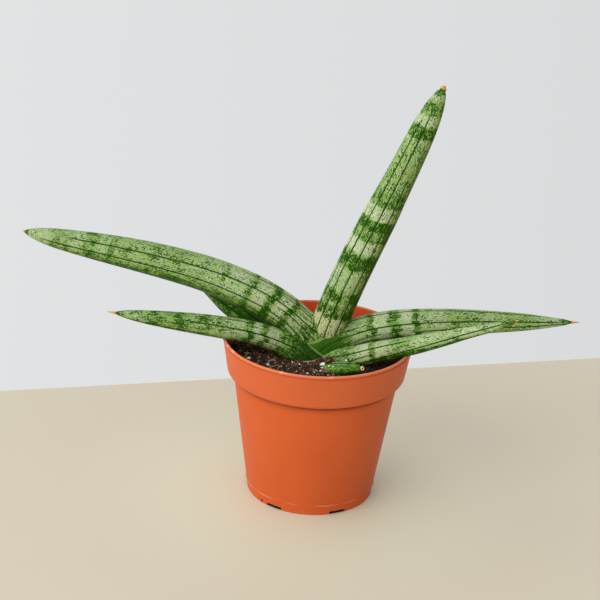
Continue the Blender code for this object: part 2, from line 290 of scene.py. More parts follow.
def keep_largest_body(mesh: bpy.types.Mesh) -> None:
    """Drops the loose scraps that a cut leaves.

    Args:
        mesh: The mesh, which keeps only the body with the most points.
    """
    shape = bmesh.new()
    shape.from_mesh(mesh)
    unseen = set(shape.verts)
    bodies = []
    while unseen:
        front = [unseen.pop()]
        body = set(front)
        while front:
            for edge in front.pop().link_edges:
                for vertex in edge.verts:
                    if vertex in unseen:
                        unseen.discard(vertex)
                        body.add(vertex)
                        front.append(vertex)
        bodies.append(body)
    largest = max(bodies, key=len)
    scraps = [vertex for body in bodies if body is not largest for vertex in body]
    bmesh.ops.delete(shape, geom=scraps, context="VERTS")
    shape.to_mesh(mesh)
    shape.free()


def cut_away(obj: Object, cutters: Sequence[Object], sharp: float) -> None:
    """Cuts the cutters from an object's mesh.

    Args:
        obj: The object that is cut.
        cutters: Closed meshes, which stay in the scene.
        sharp: Angle in degrees past which an edge stays sharp afterwards.
    """
    for cutter in cutters:
        modifier = obj.modifiers.new("Difference", "BOOLEAN")
        modifier.operation = "DIFFERENCE"
        modifier.solver = "MANIFOLD"
        modifier.object = cutter
    graph = bpy.context.evaluated_depsgraph_get()
    result = bpy.data.meshes.new_from_object(obj.evaluated_get(graph))
    obj.modifiers.clear()
    result.name = obj.name
    obj.data = result
    keep_largest_body(result)
    result.shade_smooth()
    result.set_sharp_from_angle(angle=math.radians(sharp))


def bvh_of(obj: Object) -> BVHTree:
    """A search tree over an object's faces, in metres."""
    mesh = obj.data
    return BVHTree.FromPolygons([v.co for v in mesh.vertices], [p.vertices for p in mesh.polygons])


def smooth_out(values: np.ndarray, rounds: int) -> None:
    """Evens out a row of numbers or of points in place, and keeps its ends.

    Args:
        values: The row.
        rounds: How often each value moves towards its two neighbours.
    """
    for _ in range(rounds):
        values[1:-1] = (values[:-2] + 2.0 * values[1:-1] + values[2:]) / 4.0


# Finishes


@dataclass(frozen=True)
class WaxyLeafSkin:
    """Cuticle of a succulent leaf: green tissue grown in cross bands under a thin natural wax.

    The wax gives the eye a soft satin sheen and greys the pale areas. The bands are blotches of dark cells,
    broken into flecks, and fibres that run along the leaf draw fine streaks through them.
    """

    pale: str = "#D0DAB6"
    pale_green: str = "#8CAE5A"
    fleck: str = "#3B690C"
    dark: str = "#265403"
    line: str = "#143E02"
    under: str = "#868E1C"
    blanched: str = "#D6D096"  # pale tissue that grew in the shade of the older leaves
    blanched_span: Flat = (38.0, 62.0)  # distance from the foot where it starts to green, and where it ends
    margin: str = "#87A84C"
    cap: str = "#3A4A20"
    scar: str = "#8C6A38"
    spike: str = "#E0A840"
    spike_end: str = "#A8672C"
    ior: float = 1.42
    gloss: float = 0.08  # specular level: fine wax crystals break up the reflection
    roughness: Flat = (0.36, 0.48)  # of the dark and of the pale areas
    fleck_size: float = 0.54  # the real flecks are 0.3 to 1 mm
    speckle_size: float = 0.4
    mottle_size: float = 3.0
    fibre_size: float = 0.5  # the real fibres are finer, and are drawn coarser to show
    margin_width: float = 0.42

    # The number that each sum starts with, and the weights of the patterns that it adds up.
    dark_mix: tuple[float, ...] = (3.2, 0.9, -3.7, -2.1, -1.8)  # cover, flecks, mottle, fibres
    green_mix: tuple[float, ...] = (-0.95, 0.9, 1.2, 1.0, 1.8)  # cover, mottle, fibres, speckles
    deep_mix: tuple[float, ...] = (-0.9, 1.0, 1.0)  # cover, speckles
    ragged_mix: tuple[float, ...] = (-11.0, 22.0, 1.0)  # fibres, distance from the foot
    dark_edge: float = 0.12  # half the step to dark tissue: crisp, so that the flecks have edges
    green_span: Flat = (0.9, 1.7)  # sums at which pale tissue starts to green, and is green
    deep_span: Flat = (0.0, 0.5)  # sums at which a fleck starts to darken, and is dark
    under_span: Flat = (-0.25, -0.88)  # where that tint starts and is full, in radii above the spine
    under_share: float = 0.8
    base_blur: float = 5.0
    base_share: float = 0.9
    margin_share: float = 0.8
    cap_share: float = 0.85
    bump: Flat = (0.35, 0.05)  # strength, and depth in millimetres
    line_share: float = 1.3
    line_fade: float = -0.75  # how much fainter the furrow lines are on the plain base

    def material(self, leaf: "Leaf") -> bpy.types.Material:
        """Makes the skin of one leaf.

        Args:
            leaf: The leaf, which gives the places of the bands, the base and the tip.

        Returns:
            The material.
        """
        made, tree, shader = start_material(f"waxy_leaf_skin_{leaf.name}")
        place = add_node(tree, "ShaderNodeAttribute", attribute_name="leaf_place").outputs["Vector"]
        _, upward, along = add_node(tree, "ShaderNodeSeparateXYZ", {0: place}).outputs
        cover, furrow, margin, scar = (
            add_node(tree, "ShaderNodeAttribute", attribute_name=name).outputs["Fac"]
            for name in ("cover", "furrow", "margin", "scar")
        )
        flecks, speckles, mottle, fibres = self.patterns(tree, place)
        over = weighted_sum(tree, self.dark_mix, (cover, flecks, mottle, fibres))
        greener = weighted_sum(tree, self.green_mix, (cover, mottle, fibres, speckles))
        deeper = weighted_sum(tree, self.deep_mix, (cover, speckles))
        ragged = weighted_sum(tree, self.ragged_mix, (fibres, along))
        hard = leaf.length - leaf.spike
        smooth, even = "SMOOTHSTEP", "LINEAR"
        steps = (  # a value, where its share is 0 and where it is full, the full share, and the kind of step
            (over, -self.dark_edge, self.dark_edge, 1.0, smooth),
            (greener, *self.green_span, 1.0, even),
            (deeper, *self.deep_span, 1.0, even),
            (upward, *(reach * leaf.radius for reach in self.under_span), self.under_share, smooth),
            (along, *reversed(self.blanched_span), leaf.blanched, even),
            (ragged, leaf.base_end + self.base_blur, leaf.base_end - self.base_blur, self.base_share, smooth),
            (margin, 1.3 * self.margin_width, 0.7 * self.margin_width, self.margin_share, even),
            (along, hard - leaf.cap, hard - 0.6 * leaf.cap, self.cap_share, even),
            (along, hard - 0.5, hard + 0.3, 1.0, even),
            (along, leaf.length - 0.35 * leaf.spike, leaf.length, 1.0, even),
        )
        dark, green, deep, below, blanched, base, edge, cap, spike, spike_end = (
            add_node(
                tree, "ShaderNodeMapRange", {0: value, 1: low, 2: high, 4: full}, interpolation_type=step
            ).outputs[0]
            for value, low, high, full, step in steps
        )
        strong = weighted_sum(tree, (0.0, self.line_share), (furrow,))
        faded = weighted_sum(tree, (1.0, self.line_fade), (base,))
        line = add_node(tree, "ShaderNodeMath", {0: strong, 1: faded}, operation="MULTIPLY", use_clamp=True)
        spots = layered(tree, self.fleck, ((deep, self.dark),))
        layers = (
            (green, self.pale_green), (below, self.under), (blanched, self.blanched), (dark, spots),
            (base, leaf.base_color), (line.outputs[0], self.line), (scar, self.scar), (edge, self.margin),
            (cap, self.cap), (spike, self.spike), (spike_end, self.spike_end),
        )
        rough = add_node(tree, "ShaderNodeMapRange", {0: dark, 3: self.roughness[1], 4: self.roughness[0]})
        height = weighted_sum(tree, (0.0, 1.0, 1.0), (flecks, fibres))
        strength, depth = self.bump
        bumps = {"Strength": strength, "Distance": depth * MM, "Height": height}
        bump = add_node(tree, "ShaderNodeBump", bumps)
        fill_inputs(tree, shader, {
            "Base Color": layered(tree, self.pale, layers),
            "Roughness": rough.outputs[0],
            "Normal": bump.outputs[0],
            "IOR": self.ior,
            "Specular IOR Level": self.gloss,
        })
        return made

    def patterns(self, tree: Tree, place: Socket) -> list[Socket]:
        """Adds the irregular patterns of the tissue.

        Args:
            tree: The node tree.
            place: Place on the straightened leaf, in millimetres.

        Returns:
            The flecks, the speckles, the mottling and the fibres, each of which swings round 0.5.
        """
        made = []
        for squash, size, detail in (  # how far it is squashed along the leaf, its size and its finer octaves
            (0.5, self.fleck_size, 3.0),
            (0.5, self.speckle_size, 1.0),
            (0.75, self.mottle_size, 2.0),
            (0.05, self.fibre_size, 1.0),
        ):
            inputs = {0: place, 1: (1.0, 1.0, squash)}
            scaled = add_node(tree, "ShaderNodeVectorMath", inputs, operation="MULTIPLY").outputs[0]
            values = {"Vector": scaled, "Scale": 1.0 / size, "Detail": detail, "Roughness": 0.6}
            made.append(add_node(tree, "ShaderNodeTexNoise", values).outputs[0])
        return made


@dataclass(frozen=True)
class MouldedPolypropylene:
    """Terracotta-coloured polypropylene, injection moulded in a lightly textured mould.

    The mould gives the eye an even satin surface with a very fine orange peel. Watering splashes the inside
    of the rim with specks of soil, and handling and hard water leave pale scuffs on the lip.
    """

    color: str = "#DB6430"
    color_deep: str = "#D65F2D"
    glow: str = "#FF5A22"  # light that comes through the thin wall warms the inside of the rim
    speck: str = "#3A2015"
    scuff: str = "#F0CDB8"
    worn: str = "#F7A882"  # painted highlight on the lip and the parting ridge, and painted light that lightens the band
    dust: str = "#7A2400"  # painted shade: the band's shadow in the groove under it, and darker towards the foot
    ior: float = 1.49
    gloss: float = 0.16  # specular level: the mould's fine grain breaks up the reflection
    roughness: Flat = (0.42, 0.5)
    peel_size: float = 0.9  # orange peel of 0.2 mm, drawn coarser so that it shows
    cloud_size: float = 26.0
    speck_size: float = 1.5
    scuff_size: float = 3.4
    spot_mix: Point = (0.0, 0.3, 1.0)  # where a spot may lie adds 0.3 of its share to the pattern
    spot_step: Flat = (0.8, 0.86)  # where that sum starts to be a spot, and where the spot is full
    speck_share: float = 0.8
    scuff_share: float = 0.5
    bump: Flat = (0.3, 0.04)  # strength, and depth in millimetres

    def material(self) -> bpy.types.Material:
        """Makes the pot's plastic.

        Returns:
            The material.
        """
        made, tree, shader = start_material("moulded_polypropylene")
        place = add_node(tree, "ShaderNodeTexCoord").outputs["Object"]
        patterns = (
            {"Vector": place, "Scale": 1.0 / (size * MM), "Detail": detail, "Roughness": 0.6}
            for size, detail in (
                (self.cloud_size, 2.0), (self.peel_size, 2.0), (self.speck_size, 4.0), (self.scuff_size, 4.0)
            )
        )
        cloud, peel, specks, scuffs = (
            add_node(tree, "ShaderNodeTexNoise", pattern).outputs[0] for pattern in patterns
        )
        inside, worn, dust, splash, lip = (
            add_node(tree, "ShaderNodeAttribute", attribute_name=name).outputs["Fac"]
            for name in ("inside", "worn", "dust", "splash", "lip")
        )
        steps = (  # a value, where its share is 0 and where it is full, and the full share
            (cloud, 0.3, 0.7, 1.0),
            (weighted_sum(tree, self.spot_mix, (splash, specks)), *self.spot_step, self.speck_share),
            (weighted_sum(tree, self.spot_mix, (lip, scuffs)), *self.spot_step, self.scuff_share),
        )
        deep, speck, scuff = (
            add_node(tree, "ShaderNodeMapRange", {0: value, 1: low, 2: high, 4: full}).outputs[0]
            for value, low, high, full in steps
        )
        # Painted light lightens the lip, the band and the parting ridge. Painted shade darkens the groove
        # under the band and the wall towards the foot.
        layers = (
            (deep, self.color_deep), (inside, self.glow), (worn, self.worn), (dust, self.dust),
            (speck, self.speck), (scuff, self.scuff),
        )
        rough = add_node(tree, "ShaderNodeMapRange", {0: cloud, 3: self.roughness[0], 4: self.roughness[1]})
        strength, depth = self.bump
        bumps = {"Strength": strength, "Distance": depth * MM, "Height": peel}
        bump = add_node(tree, "ShaderNodeBump", bumps)
        fill_inputs(tree, shader, {
            "Base Color": layered(tree, self.color, layers),
            "Roughness": rough.outputs[0],
            "Normal": bump.outputs[0],
            "IOR": self.ior,
            "Specular IOR Level": self.gloss,
        })
        return made


@dataclass(frozen=True)
class CrumbFinish:
    """Broken or dried surface of loose particles: fibrous bark and peat, porous expanded rock, dry leaf.

    Breaking and drying leave it dull and finely rough to the eye. Every particle has its own tone.
    """

    name: str
    tones: tuple[str, ...]  # from the darkest particle to the palest
    grain_size: float  # of the fibres or pores, in millimetres
    relief: float  # depth of the fibres or pores, in millimetres
    roughness: float = 0.92

    def material(self) -> bpy.types.Material:
        """Makes the particles' surface.

        Returns:
            The material.
        """
        made, tree, shader = start_material(self.name)
        place = add_node(tree, "ShaderNodeTexCoord").outputs["Object"]
        pattern = {"Vector": place, "Scale": 1.0 / (self.grain_size * MM), "Detail": 3.0}
        grain = add_node(tree, "ShaderNodeTexNoise", pattern).outputs[0]
        tone = add_node(tree, "ShaderNodeAttribute", attribute_name="tone").outputs["Fac"]
        mixed = weighted_sum(tree, (0.0, 0.5, 1.0), (grain, tone))
        share = add_node(tree, "ShaderNodeMapRange", {0: mixed, 1: 0.2, 2: 1.3}).outputs[0]
        ramp = add_node(tree, "ShaderNodeValToRGB", {0: share})
        stops = ramp.color_ramp.elements
        stops.remove(stops[-1])
        stops[0].color = linear(self.tones[0])
        for i, code in enumerate(self.tones[1:], 1):
            stops.new(i / (len(self.tones) - 1)).color = linear(code)
        depth = self.relief * MM
        bump = add_node(tree, "ShaderNodeBump", {"Strength": 0.7, "Distance": depth, "Height": grain})
        fill_inputs(tree, shader, {
            "Base Color": ramp.outputs[0], "Normal": bump.outputs[0], "Roughness": self.roughness
        })
        return made


@dataclass(frozen=True)
class PaintedBoard:
    """Matt emulsion on board, rolled on: even, pale, with hardly any texture."""

    color: str = "#E2D8C2"
    color_worn: str = "#DFD5BE"
    color_near: str = "#E7E7CD"  # round the pot, where it evens out the warm light that the pot throws back
    near: Flat = (0.045, 0.15)  # metres from the pot's axis, where that tint starts to fade and where it ends
    color_shade_under_pot: str = "#3A3028"  # painted shade on the board under the pot, where it stands
    shade_under_pot: Flat = (0.0355, 0.0345)  # metres from the pot's axis, where it starts and where it is full
    cloud_size: float = 166.67  # the roller's passes cover a little unevenly
    roughness: float = 0.55

    def material(self) -> bpy.types.Material:
        """Makes the table's paint.

        Returns:
            The material.
        """
        made, tree, shader = start_material("painted_board")
        place = add_node(tree, "ShaderNodeTexCoord").outputs["Object"]
        pattern = {"Vector": place, "Scale": 1.0 / (self.cloud_size * MM), "Detail": 2.0}
        cloud = add_node(tree, "ShaderNodeTexNoise", pattern).outputs[0]
        away = add_node(tree, "ShaderNodeVectorMath", {0: place}, operation="LENGTH").outputs["Value"]
        fade = {0: away, 1: self.near[0], 2: self.near[1], 3: 1.0, 4: 0.0}
        near = add_node(tree, "ShaderNodeMapRange", fade, interpolation_type="SMOOTHSTEP").outputs[0]
        # Painted shade under the pot.
        shade_under_pot = add_node(tree, "ShaderNodeMapRange", {0: away, 1: self.shade_under_pot[0], 2: self.shade_under_pot[1]}).outputs[0]
        layers = ((cloud, self.color_worn), (near, self.color_near), (shade_under_pot, self.color_shade_under_pot))
        color = layered(tree, self.color, layers)
        fill_inputs(tree, shader, {"Base Color": color, "Roughness": self.roughness})
        return made


# Leaves


@dataclass(frozen=True)
class LeafMesh:
    """Points of a leaf's surface, with what its skin reads at each of them."""

    points: np.ndarray  # where each point is, in millimetres
    place: np.ndarray  # where it would be on the straightened leaf, in millimetres
    furrow: np.ndarray  # 1 in the bottom of a furrow, 0 outside it
    cover: np.ndarray  # share of dark tissue, from 0 to 1
    scar: np.ndarray  # 1 on a healed nick, 0 outside it
    rings: int
    sides: int

    def object(self, name: str, sharp: float) -> Object:
        """Makes the closed mesh, where an edge past that angle in degrees stays sharp."""
        return mesh_object(name, self.points, tube_faces(self.rings, self.sides), sharp)


@dataclass(frozen=True)
class Leaf:
    """One spear leaf: round in section, furrowed, clasping the shoot at its base and ending in a spike."""

    name: str
    node: str
    spine: tuple[Point, ...]  # pull points from the foot to the tip
    radius: float
    clasp: Point  # reach of the base to front and back, to the shoot's middle, and outwards
    clasp_end: float
    bands: Table  # distance from the foot, and share of dark tissue there
    channel: float = 0.0
    channel_end: float = 1.0
    taper: float = 3.0
    spike: float = 3.0
    cap: float = 5.0  # length of the grey-green part below the spike
    base_end: float = 26.0  # the plain green base ends about this far from the foot
    base_color: str = "#2A5C0A"
    nudge: Table = ((0.0, 0.0),)  # distance from the foot, and how far the spine is raised there
    trim: Table = ((0.0, 0.0),)  # distance from the foot, and how much is added to the radius there
    furrows: tuple[Four, ...] = ()  # degrees round at foot and tip, share of the length at start and end
    minors: int = 2  # short furrows between each two long ones, near the base
    minor_end: float = 0.35  # share of the length at which they have faded
    band_step: float = 1.3  # how far the bands step from one panel to the next, at most
    blanched: float = 0.0  # share of blanched tissue near the foot
    under_cover_and_shade: float = 0.38  # darker underside flecks: partly denser flecks, partly painted shade
    under_from: Flat = (0.2, 0.85)  # shares of the radius below the spine where that starts and is complete
    scars: tuple[Point, ...] = ()  # distance from the foot, degrees round the leaf, radius
    slot: str = "leaf_green"
    skin: WaxyLeafSkin = WaxyLeafSkin()

    sides: int = 240
    spacing: float = 0.85  # between two rings
    fine_end: float = 12.0  # length below the spike where the rings are twice as close
    sharp: float = 50.0
    grown_mesh: tuple[int, float] = (96, 2.0)  # sides and spacing of the smooth cutter
    grown_by: float = 0.1
    grown_drop: Flat = (0.6, 0.15)  # how far the cutter's foot goes down, and how much more for each leaf

    foot_share: float = 0.78  # size of the foot, as a share of the leaf above it
    foot_rise: float = 12.0  # length over which the foot grows to full size
    squareness: float = 1.0  # how much squarer than an ellipse the clasping base is
    nudge_blur: float = 8.0
    trim_blur: float = 3.0
    clasp_hold: float = 0.35  # share of the clasp's length over which it keeps its full reach
    tip_rounding: float = 0.55  # the smaller, the blunter
    groove_spread: float = 0.75  # radians from the middle of the channel to its sides
    groove_hold: float = 0.25  # share of the channel's length over which it keeps its full depth
    spike_radius: float = 0.65
    spike_point: float = 0.25  # radius of the spike's end, as a share of its foot
    minor_strength: float = 0.75
    stray: float = 1.5  # degrees by which a furrow may lie off its place
    sway: Flat = (0.5, 1.6)  # degrees by which it swings to either side, at least and at most
    swings: float = 8.0  # radians of that swing along the leaf
    furrow_depth: float = 0.26
    furrow_width: float = 0.36
    valley_depth: float = 0.16
    valley_width: float = 1.3

    def curve(self) -> tuple[np.ndarray, np.ndarray]:
        """Works out the spine.

        Returns:
            Points close together along the curve that the pull points give, and the distance to each.
        """
        shares = np.linspace(0.0, 1.0, 1601)
        levels = [np.repeat(np.array([pull]), len(shares), axis=0) for pull in self.spine]
        while len(levels) > 1:
            levels = [a + (b - a) * shares[:, None] for a, b in zip(levels, levels[1:])]
        steps = np.linalg.norm(np.diff(levels[0], axis=0), axis=1)
        return levels[0], np.concatenate([[0.0], np.cumsum(steps)])

    @property
    def length(self) -> float:
        """Length of the spine in millimetres."""
        return float(self.curve()[1][-1])

    def distances(self, spacing: float) -> np.ndarray:
        """Spaces the rings, which lie closer together near the tip and on the spike.

        Args:
            spacing: Distance between rings in millimetres.

        Returns:
            Distance of each ring from the foot.
        """
        body = self.length - self.spike
        near_tip = body - self.fine_end
        counts = (int(near_tip / spacing) + 1, int(2.0 * self.fine_end / spacing), int(self.spike * 3.0) + 3)
        stretches = zip((0.0, near_tip, body), (near_tip, body, self.length), counts)
        runs = [np.linspace(low, high, count, endpoint=False) for low, high, count in stretches]
        return np.concatenate([*runs, [self.length]])

    def section(self, distances: np.ndarray, turns: np.ndarray) -> np.ndarray:
        """Works out the leaf's sections before furrows.

        Args:
            distances: Distances from the foot, one for each ring.
            turns: Angles round the leaf in radians, one for each side.

        Returns:
            Offsets across and upwards, for each ring and side.
        """
        at = distances[:, None]
        clasp = 1.0 - smoothstep(self.clasp_hold * self.clasp_end, self.clasp_end, at)
        foot = self.foot_share + (1.0 - self.foot_share) * smoothstep(0.0, self.foot_rise, at)
        to_tip = np.clip(1.0 - at / (self.length - self.spike), 0.0, 1.0)
        size = foot * (1.0 - (1.0 - to_tip) ** self.taper) ** self.tip_rounding
        closing = smoothstep(self.length - self.spike, self.length, at)
        spike = self.spike_radius * (1.0 - (1.0 - self.spike_point) * closing)
        trim = look_up(self.trim, at, self.trim_blur) * smoothstep(0.0, 0.015, to_tip)
        wide, inward, outward = (
            np.maximum(spike, (self.radius + (reach - self.radius) * clasp) * size + trim)
            for reach in self.clasp
        )
        x, y = np.cos(turns)[None, :], np.sin(turns)[None, :]
        groove = self.channel * (1.0 - smoothstep(self.groove_hold * self.channel_end, self.channel_end, at))
        reach = 1.0 - groove * np.exp(-((np.arctan2(x, y) / self.groove_spread) ** 2))
        power = 2.0 + clasp * self.squareness
        reach = reach / (np.abs(x) ** power + np.abs(y) ** power) ** (1.0 / power)
        return np.stack([x * wide * reach, y * np.where(y > 0.0, inward, outward) * reach], axis=2)

    def relief(
        self, distances: np.ndarray, turns: np.ndarray, offsets: np.ndarray
    ) -> tuple[np.ndarray, np.ndarray, np.ndarray]:
        """Works out the furrows, and the panels of skin between them.

        Args:
            distances: Distances from the foot.
            turns: Angles round the leaf in radians.
            offsets: The leaf's sections.

        Returns:
            For each ring and side: how far it lies in a furrow from 0 to 1, how far in the wide valley
            round one, and how far the bands are moved along there.
        """
        draw = np.random.default_rng(sum(map(ord, self.name)))
        local = np.linalg.norm(offsets, axis=2)
        share = distances[:, None] / self.length
        found, valley, passed = (np.zeros_like(local) for _ in range(3))
        ordered = sorted(self.furrows)
        following = [*ordered[1:], (ordered[0][0] + 360.0, ordered[0][1] + 360.0)]
        lines = [(*furrow, 1.0) for furrow in ordered]
        for low, high in zip(ordered, following):
            for k in range(1, self.minors + 1):
                mix = k / (self.minors + 1)
                pair = (low[i] + (high[i] - low[i]) * mix for i in (0, 1))
                lines.append((*pair, 0.0, self.minor_end * draw.uniform(0.6, 1.2), self.minor_strength))
        for foot_turn, tip_turn, start, end, strength in lines:
            stray = draw.uniform(-self.stray, self.stray)
            sway = math.radians(draw.uniform(*self.sway))
            turn = np.radians(foot_turn + (tip_turn - foot_turn) * share + stray)
            turn = turn + sway * np.sin(share * self.swings + draw.uniform(0.0, 6.3))
            off = (turns[None, :] - turn + math.pi) % TURN - math.pi
            fading = 1.0 - smoothstep(end - 0.08, end, share)
            reach = strength * fading * smoothstep(start - 0.03, start + 0.03, share)
            found = np.maximum(found, reach * np.exp(-((off * local / self.furrow_width) ** 2)))
            valley = np.maximum(valley, reach * np.exp(-((off * local / self.valley_width) ** 2)))
            if strength == 1.0:
                beyond = np.where((turns[None, :] - turn) % TURN < math.pi, 1.0, 0.0)
                passed = passed + beyond * draw.uniform(1, 99)
        panel = (np.sin(passed * 12.9898) * 43758.5453) % 1.0  # a hash, so that each panel has its own step
        return found, valley, self.band_step * (2.0 * panel - 1.0)

    def cover(self, distances: np.ndarray, shift: np.ndarray, offsets: np.ndarray) -> np.ndarray:
        """Works out how much of the tissue is dark.

        Args:
            distances: Distances from the foot.
            shift: How far the bands are moved along the leaf.
            offsets: The leaf's sections.

        Returns:
            The share of dark tissue for each ring and side: the bands, and more on the underside, partly as
            painted shade.
        """
        places, shares = zip(*self.bands)
        low, high = (share * self.radius for share in self.under_from)
        # the underside's extra share is partly denser flecks, partly painted shade
        below = smoothstep(low, high, -offsets[:, :, 1])
        return np.interp(distances[:, None] + shift, places, shares) + self.under_cover_and_shade * below

    def scar_share(self, distances: np.ndarray, turns: np.ndarray, offsets: np.ndarray) -> np.ndarray:
        """Works out where healed nicks lie.

        Args:
            distances: Distances from the foot.
            turns: Angles round the leaf in radians.
            offsets: The leaf's sections.

        Returns:
            How far each ring and side lies on a nick, from 0 to 1.
        """
        local = np.linalg.norm(offsets, axis=2)
        found = np.zeros_like(local)
        for along, turn, radius in self.scars:
            off = (turns[None, :] - math.radians(turn) + math.pi) % TURN - math.pi
            away = np.hypot(off * local, (distances[:, None] - along) * 0.7)
            found = np.maximum(found, 1.0 - smoothstep(0.5 * radius, radius, away))
        return found

    def mesh(
        self, sides: int, spacing: float, grow: float = 0.0, drop: float = 0.0, furrowed: bool = True
    ) -> LeafMesh:
        """Lofts the leaf.

        Args:
            sides: Points in each ring.
            spacing: Distance between rings in millimetres.
            grow: How far the surface is moved out.
            drop: How far the foot is moved down.
            furrowed: Whether the furrows are cut into the surface.

        Returns:
            The surface, from the foot's point through the rings to the tip's point.
        """
        fine, run = self.curve()
        at = self.distances(spacing)
        turns = np.linspace(0.0, TURN, sides, endpoint=False)
        centres = np.stack([np.interp(at, run, fine[:, k]) for k in range(3)], axis=1)
        slopes = np.gradient(fine, run, axis=0)
        tangents = np.stack([np.interp(at, run, slopes[:, k]) for k in range(3)], axis=1)
        tangents /= np.linalg.norm(tangents, axis=1, keepdims=True)
        heading = np.array(self.spine[-1]) - np.array(self.spine[0])
        side = np.array([-heading[1], heading[0], 0.0])
        side /= np.linalg.norm(side)
        upper = np.cross(tangents, side)
        upper /= np.linalg.norm(upper, axis=1, keepdims=True)
        across = np.cross(upper, tangents)
        centres += upper * look_up(self.nudge, at, self.nudge_blur)[:, None]
        offsets = self.section(at, turns)
        furrow, valley, shift = self.relief(at, turns, offsets)
        reach = np.linalg.norm(offsets, axis=2)
        depth = self.furrow_depth * furrow + self.valley_depth * valley
        depth = depth * np.minimum(1.0, reach / (0.6 * self.radius))
        moved = offsets * (1.0 + (grow - (depth if furrowed else 0.0)) / reach)[:, :, None]
        rings = centres[:, None, :] + across[:, None, :] * moved[:, :, :1]
        rings = rings + upper[:, None, :] * moved[:, :, 1:]
        rings[0, :, 2] -= drop
        foot = centres[0] - np.array([0.0, 0.0, drop])
        tip = centres[-1] + tangents[-1] * (0.2 + grow)
        along = np.broadcast_to(at[:, None, None], (len(at), sides, 1))
        place = np.concatenate([offsets, along], axis=2).reshape(-1, 3)
        return LeafMesh(
            points=np.vstack([foot, rings.reshape(-1, 3), tip]),
            place=np.vstack([[0.0, 0.0, 0.0], place, [0.0, 0.0, self.length]]),
            furrow=np.concatenate([[0.0], furrow.ravel(), [0.0]]),
            cover=np.concatenate([[0.0], self.cover(at, shift, offsets).ravel(), [0.0]]),
            scar=np.concatenate([[0.0], self.scar_share(at, turns, offsets).ravel(), [0.0]]),
            rings=len(at),
            sides=sides,
        )

    def build(self, cutters: Sequence[Object]) -> Object:
        """Builds the leaf, cut clear of the younger leaves that its base clasps.

        Args:
            cutters: The younger leaves, a little grown.

        Returns:
            The finished piece, with the attributes that its skin reads.
        """
        surface = self.mesh(self.sides, self.spacing)
        made = surface.object(self.name, self.sharp)
        if cutters:
            cut_away(made, cutters, self.sharp)
        points = mesh_points(made.data)
        tree = kdtree.KDTree(len(surface.points))
        for i, point in enumerate(surface.points):
            tree.insert(point, i)
        tree.balance()
        nearest = np.array([tree.find(point)[1] for point in points])
        set_attribute(made.data, "leaf_place", surface.place[nearest])
        set_attribute(made.data, "furrow", surface.furrow[nearest])
        set_attribute(made.data, "cover", surface.cover[nearest])
        set_attribute(made.data, "scar", surface.scar[nearest])
        set_attribute(made.data, "margin", self.margin_distance(points, surface.place[nearest], cutters[-1:]))
        made.data.materials.clear()
        made.data.materials.append(self.skin.material(self))
        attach(made, "root")
        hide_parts(self.node)
        return made

    def grown(self, order: int) -> Object:
        """Builds a smooth leaf that is a little larger, to cut what lies round it.

        Args:
            order: How many leaves are younger.

        Returns:
            The cutter. Its foot ends lower than those before it, so that no two feet share a plane.
        """
        drop = self.grown_drop[0] + self.grown_drop[1] * order
        coarse = self.mesh(*self.grown_mesh, grow=self.grown_by, drop=drop, furrowed=False)
        return coarse.object(f"{self.name}_grown", self.sharp)

    def margin_distance(self, points: np.ndarray, place: np.ndarray, cutters: Sequence[Object]) -> np.ndarray:
        """Measures how far each point of the base is from the edge where it meets a younger leaf.

        Args:
            points: The leaf's points.
            place: Their places on the straightened leaf.
            cutters: The younger leaves, a little grown.

        Returns:
            The distance in millimetres, or a large number away from the base.
        """
        found = np.full(len(points), 99.0)
        near = np.flatnonzero(place[:, 2] < self.clasp_end + 15.0)
        for cutter in cutters:
            surface = bvh_of(cutter)
            for i in near:
                distance = surface.find_nearest(Vector(points[i]) * MM, 5.0 * MM)[3]
                if distance is not None:
                    found[i] = min(found[i], distance / MM)
        return found


FOOT = 61.95  # height at which the leaves stand on the rhizome

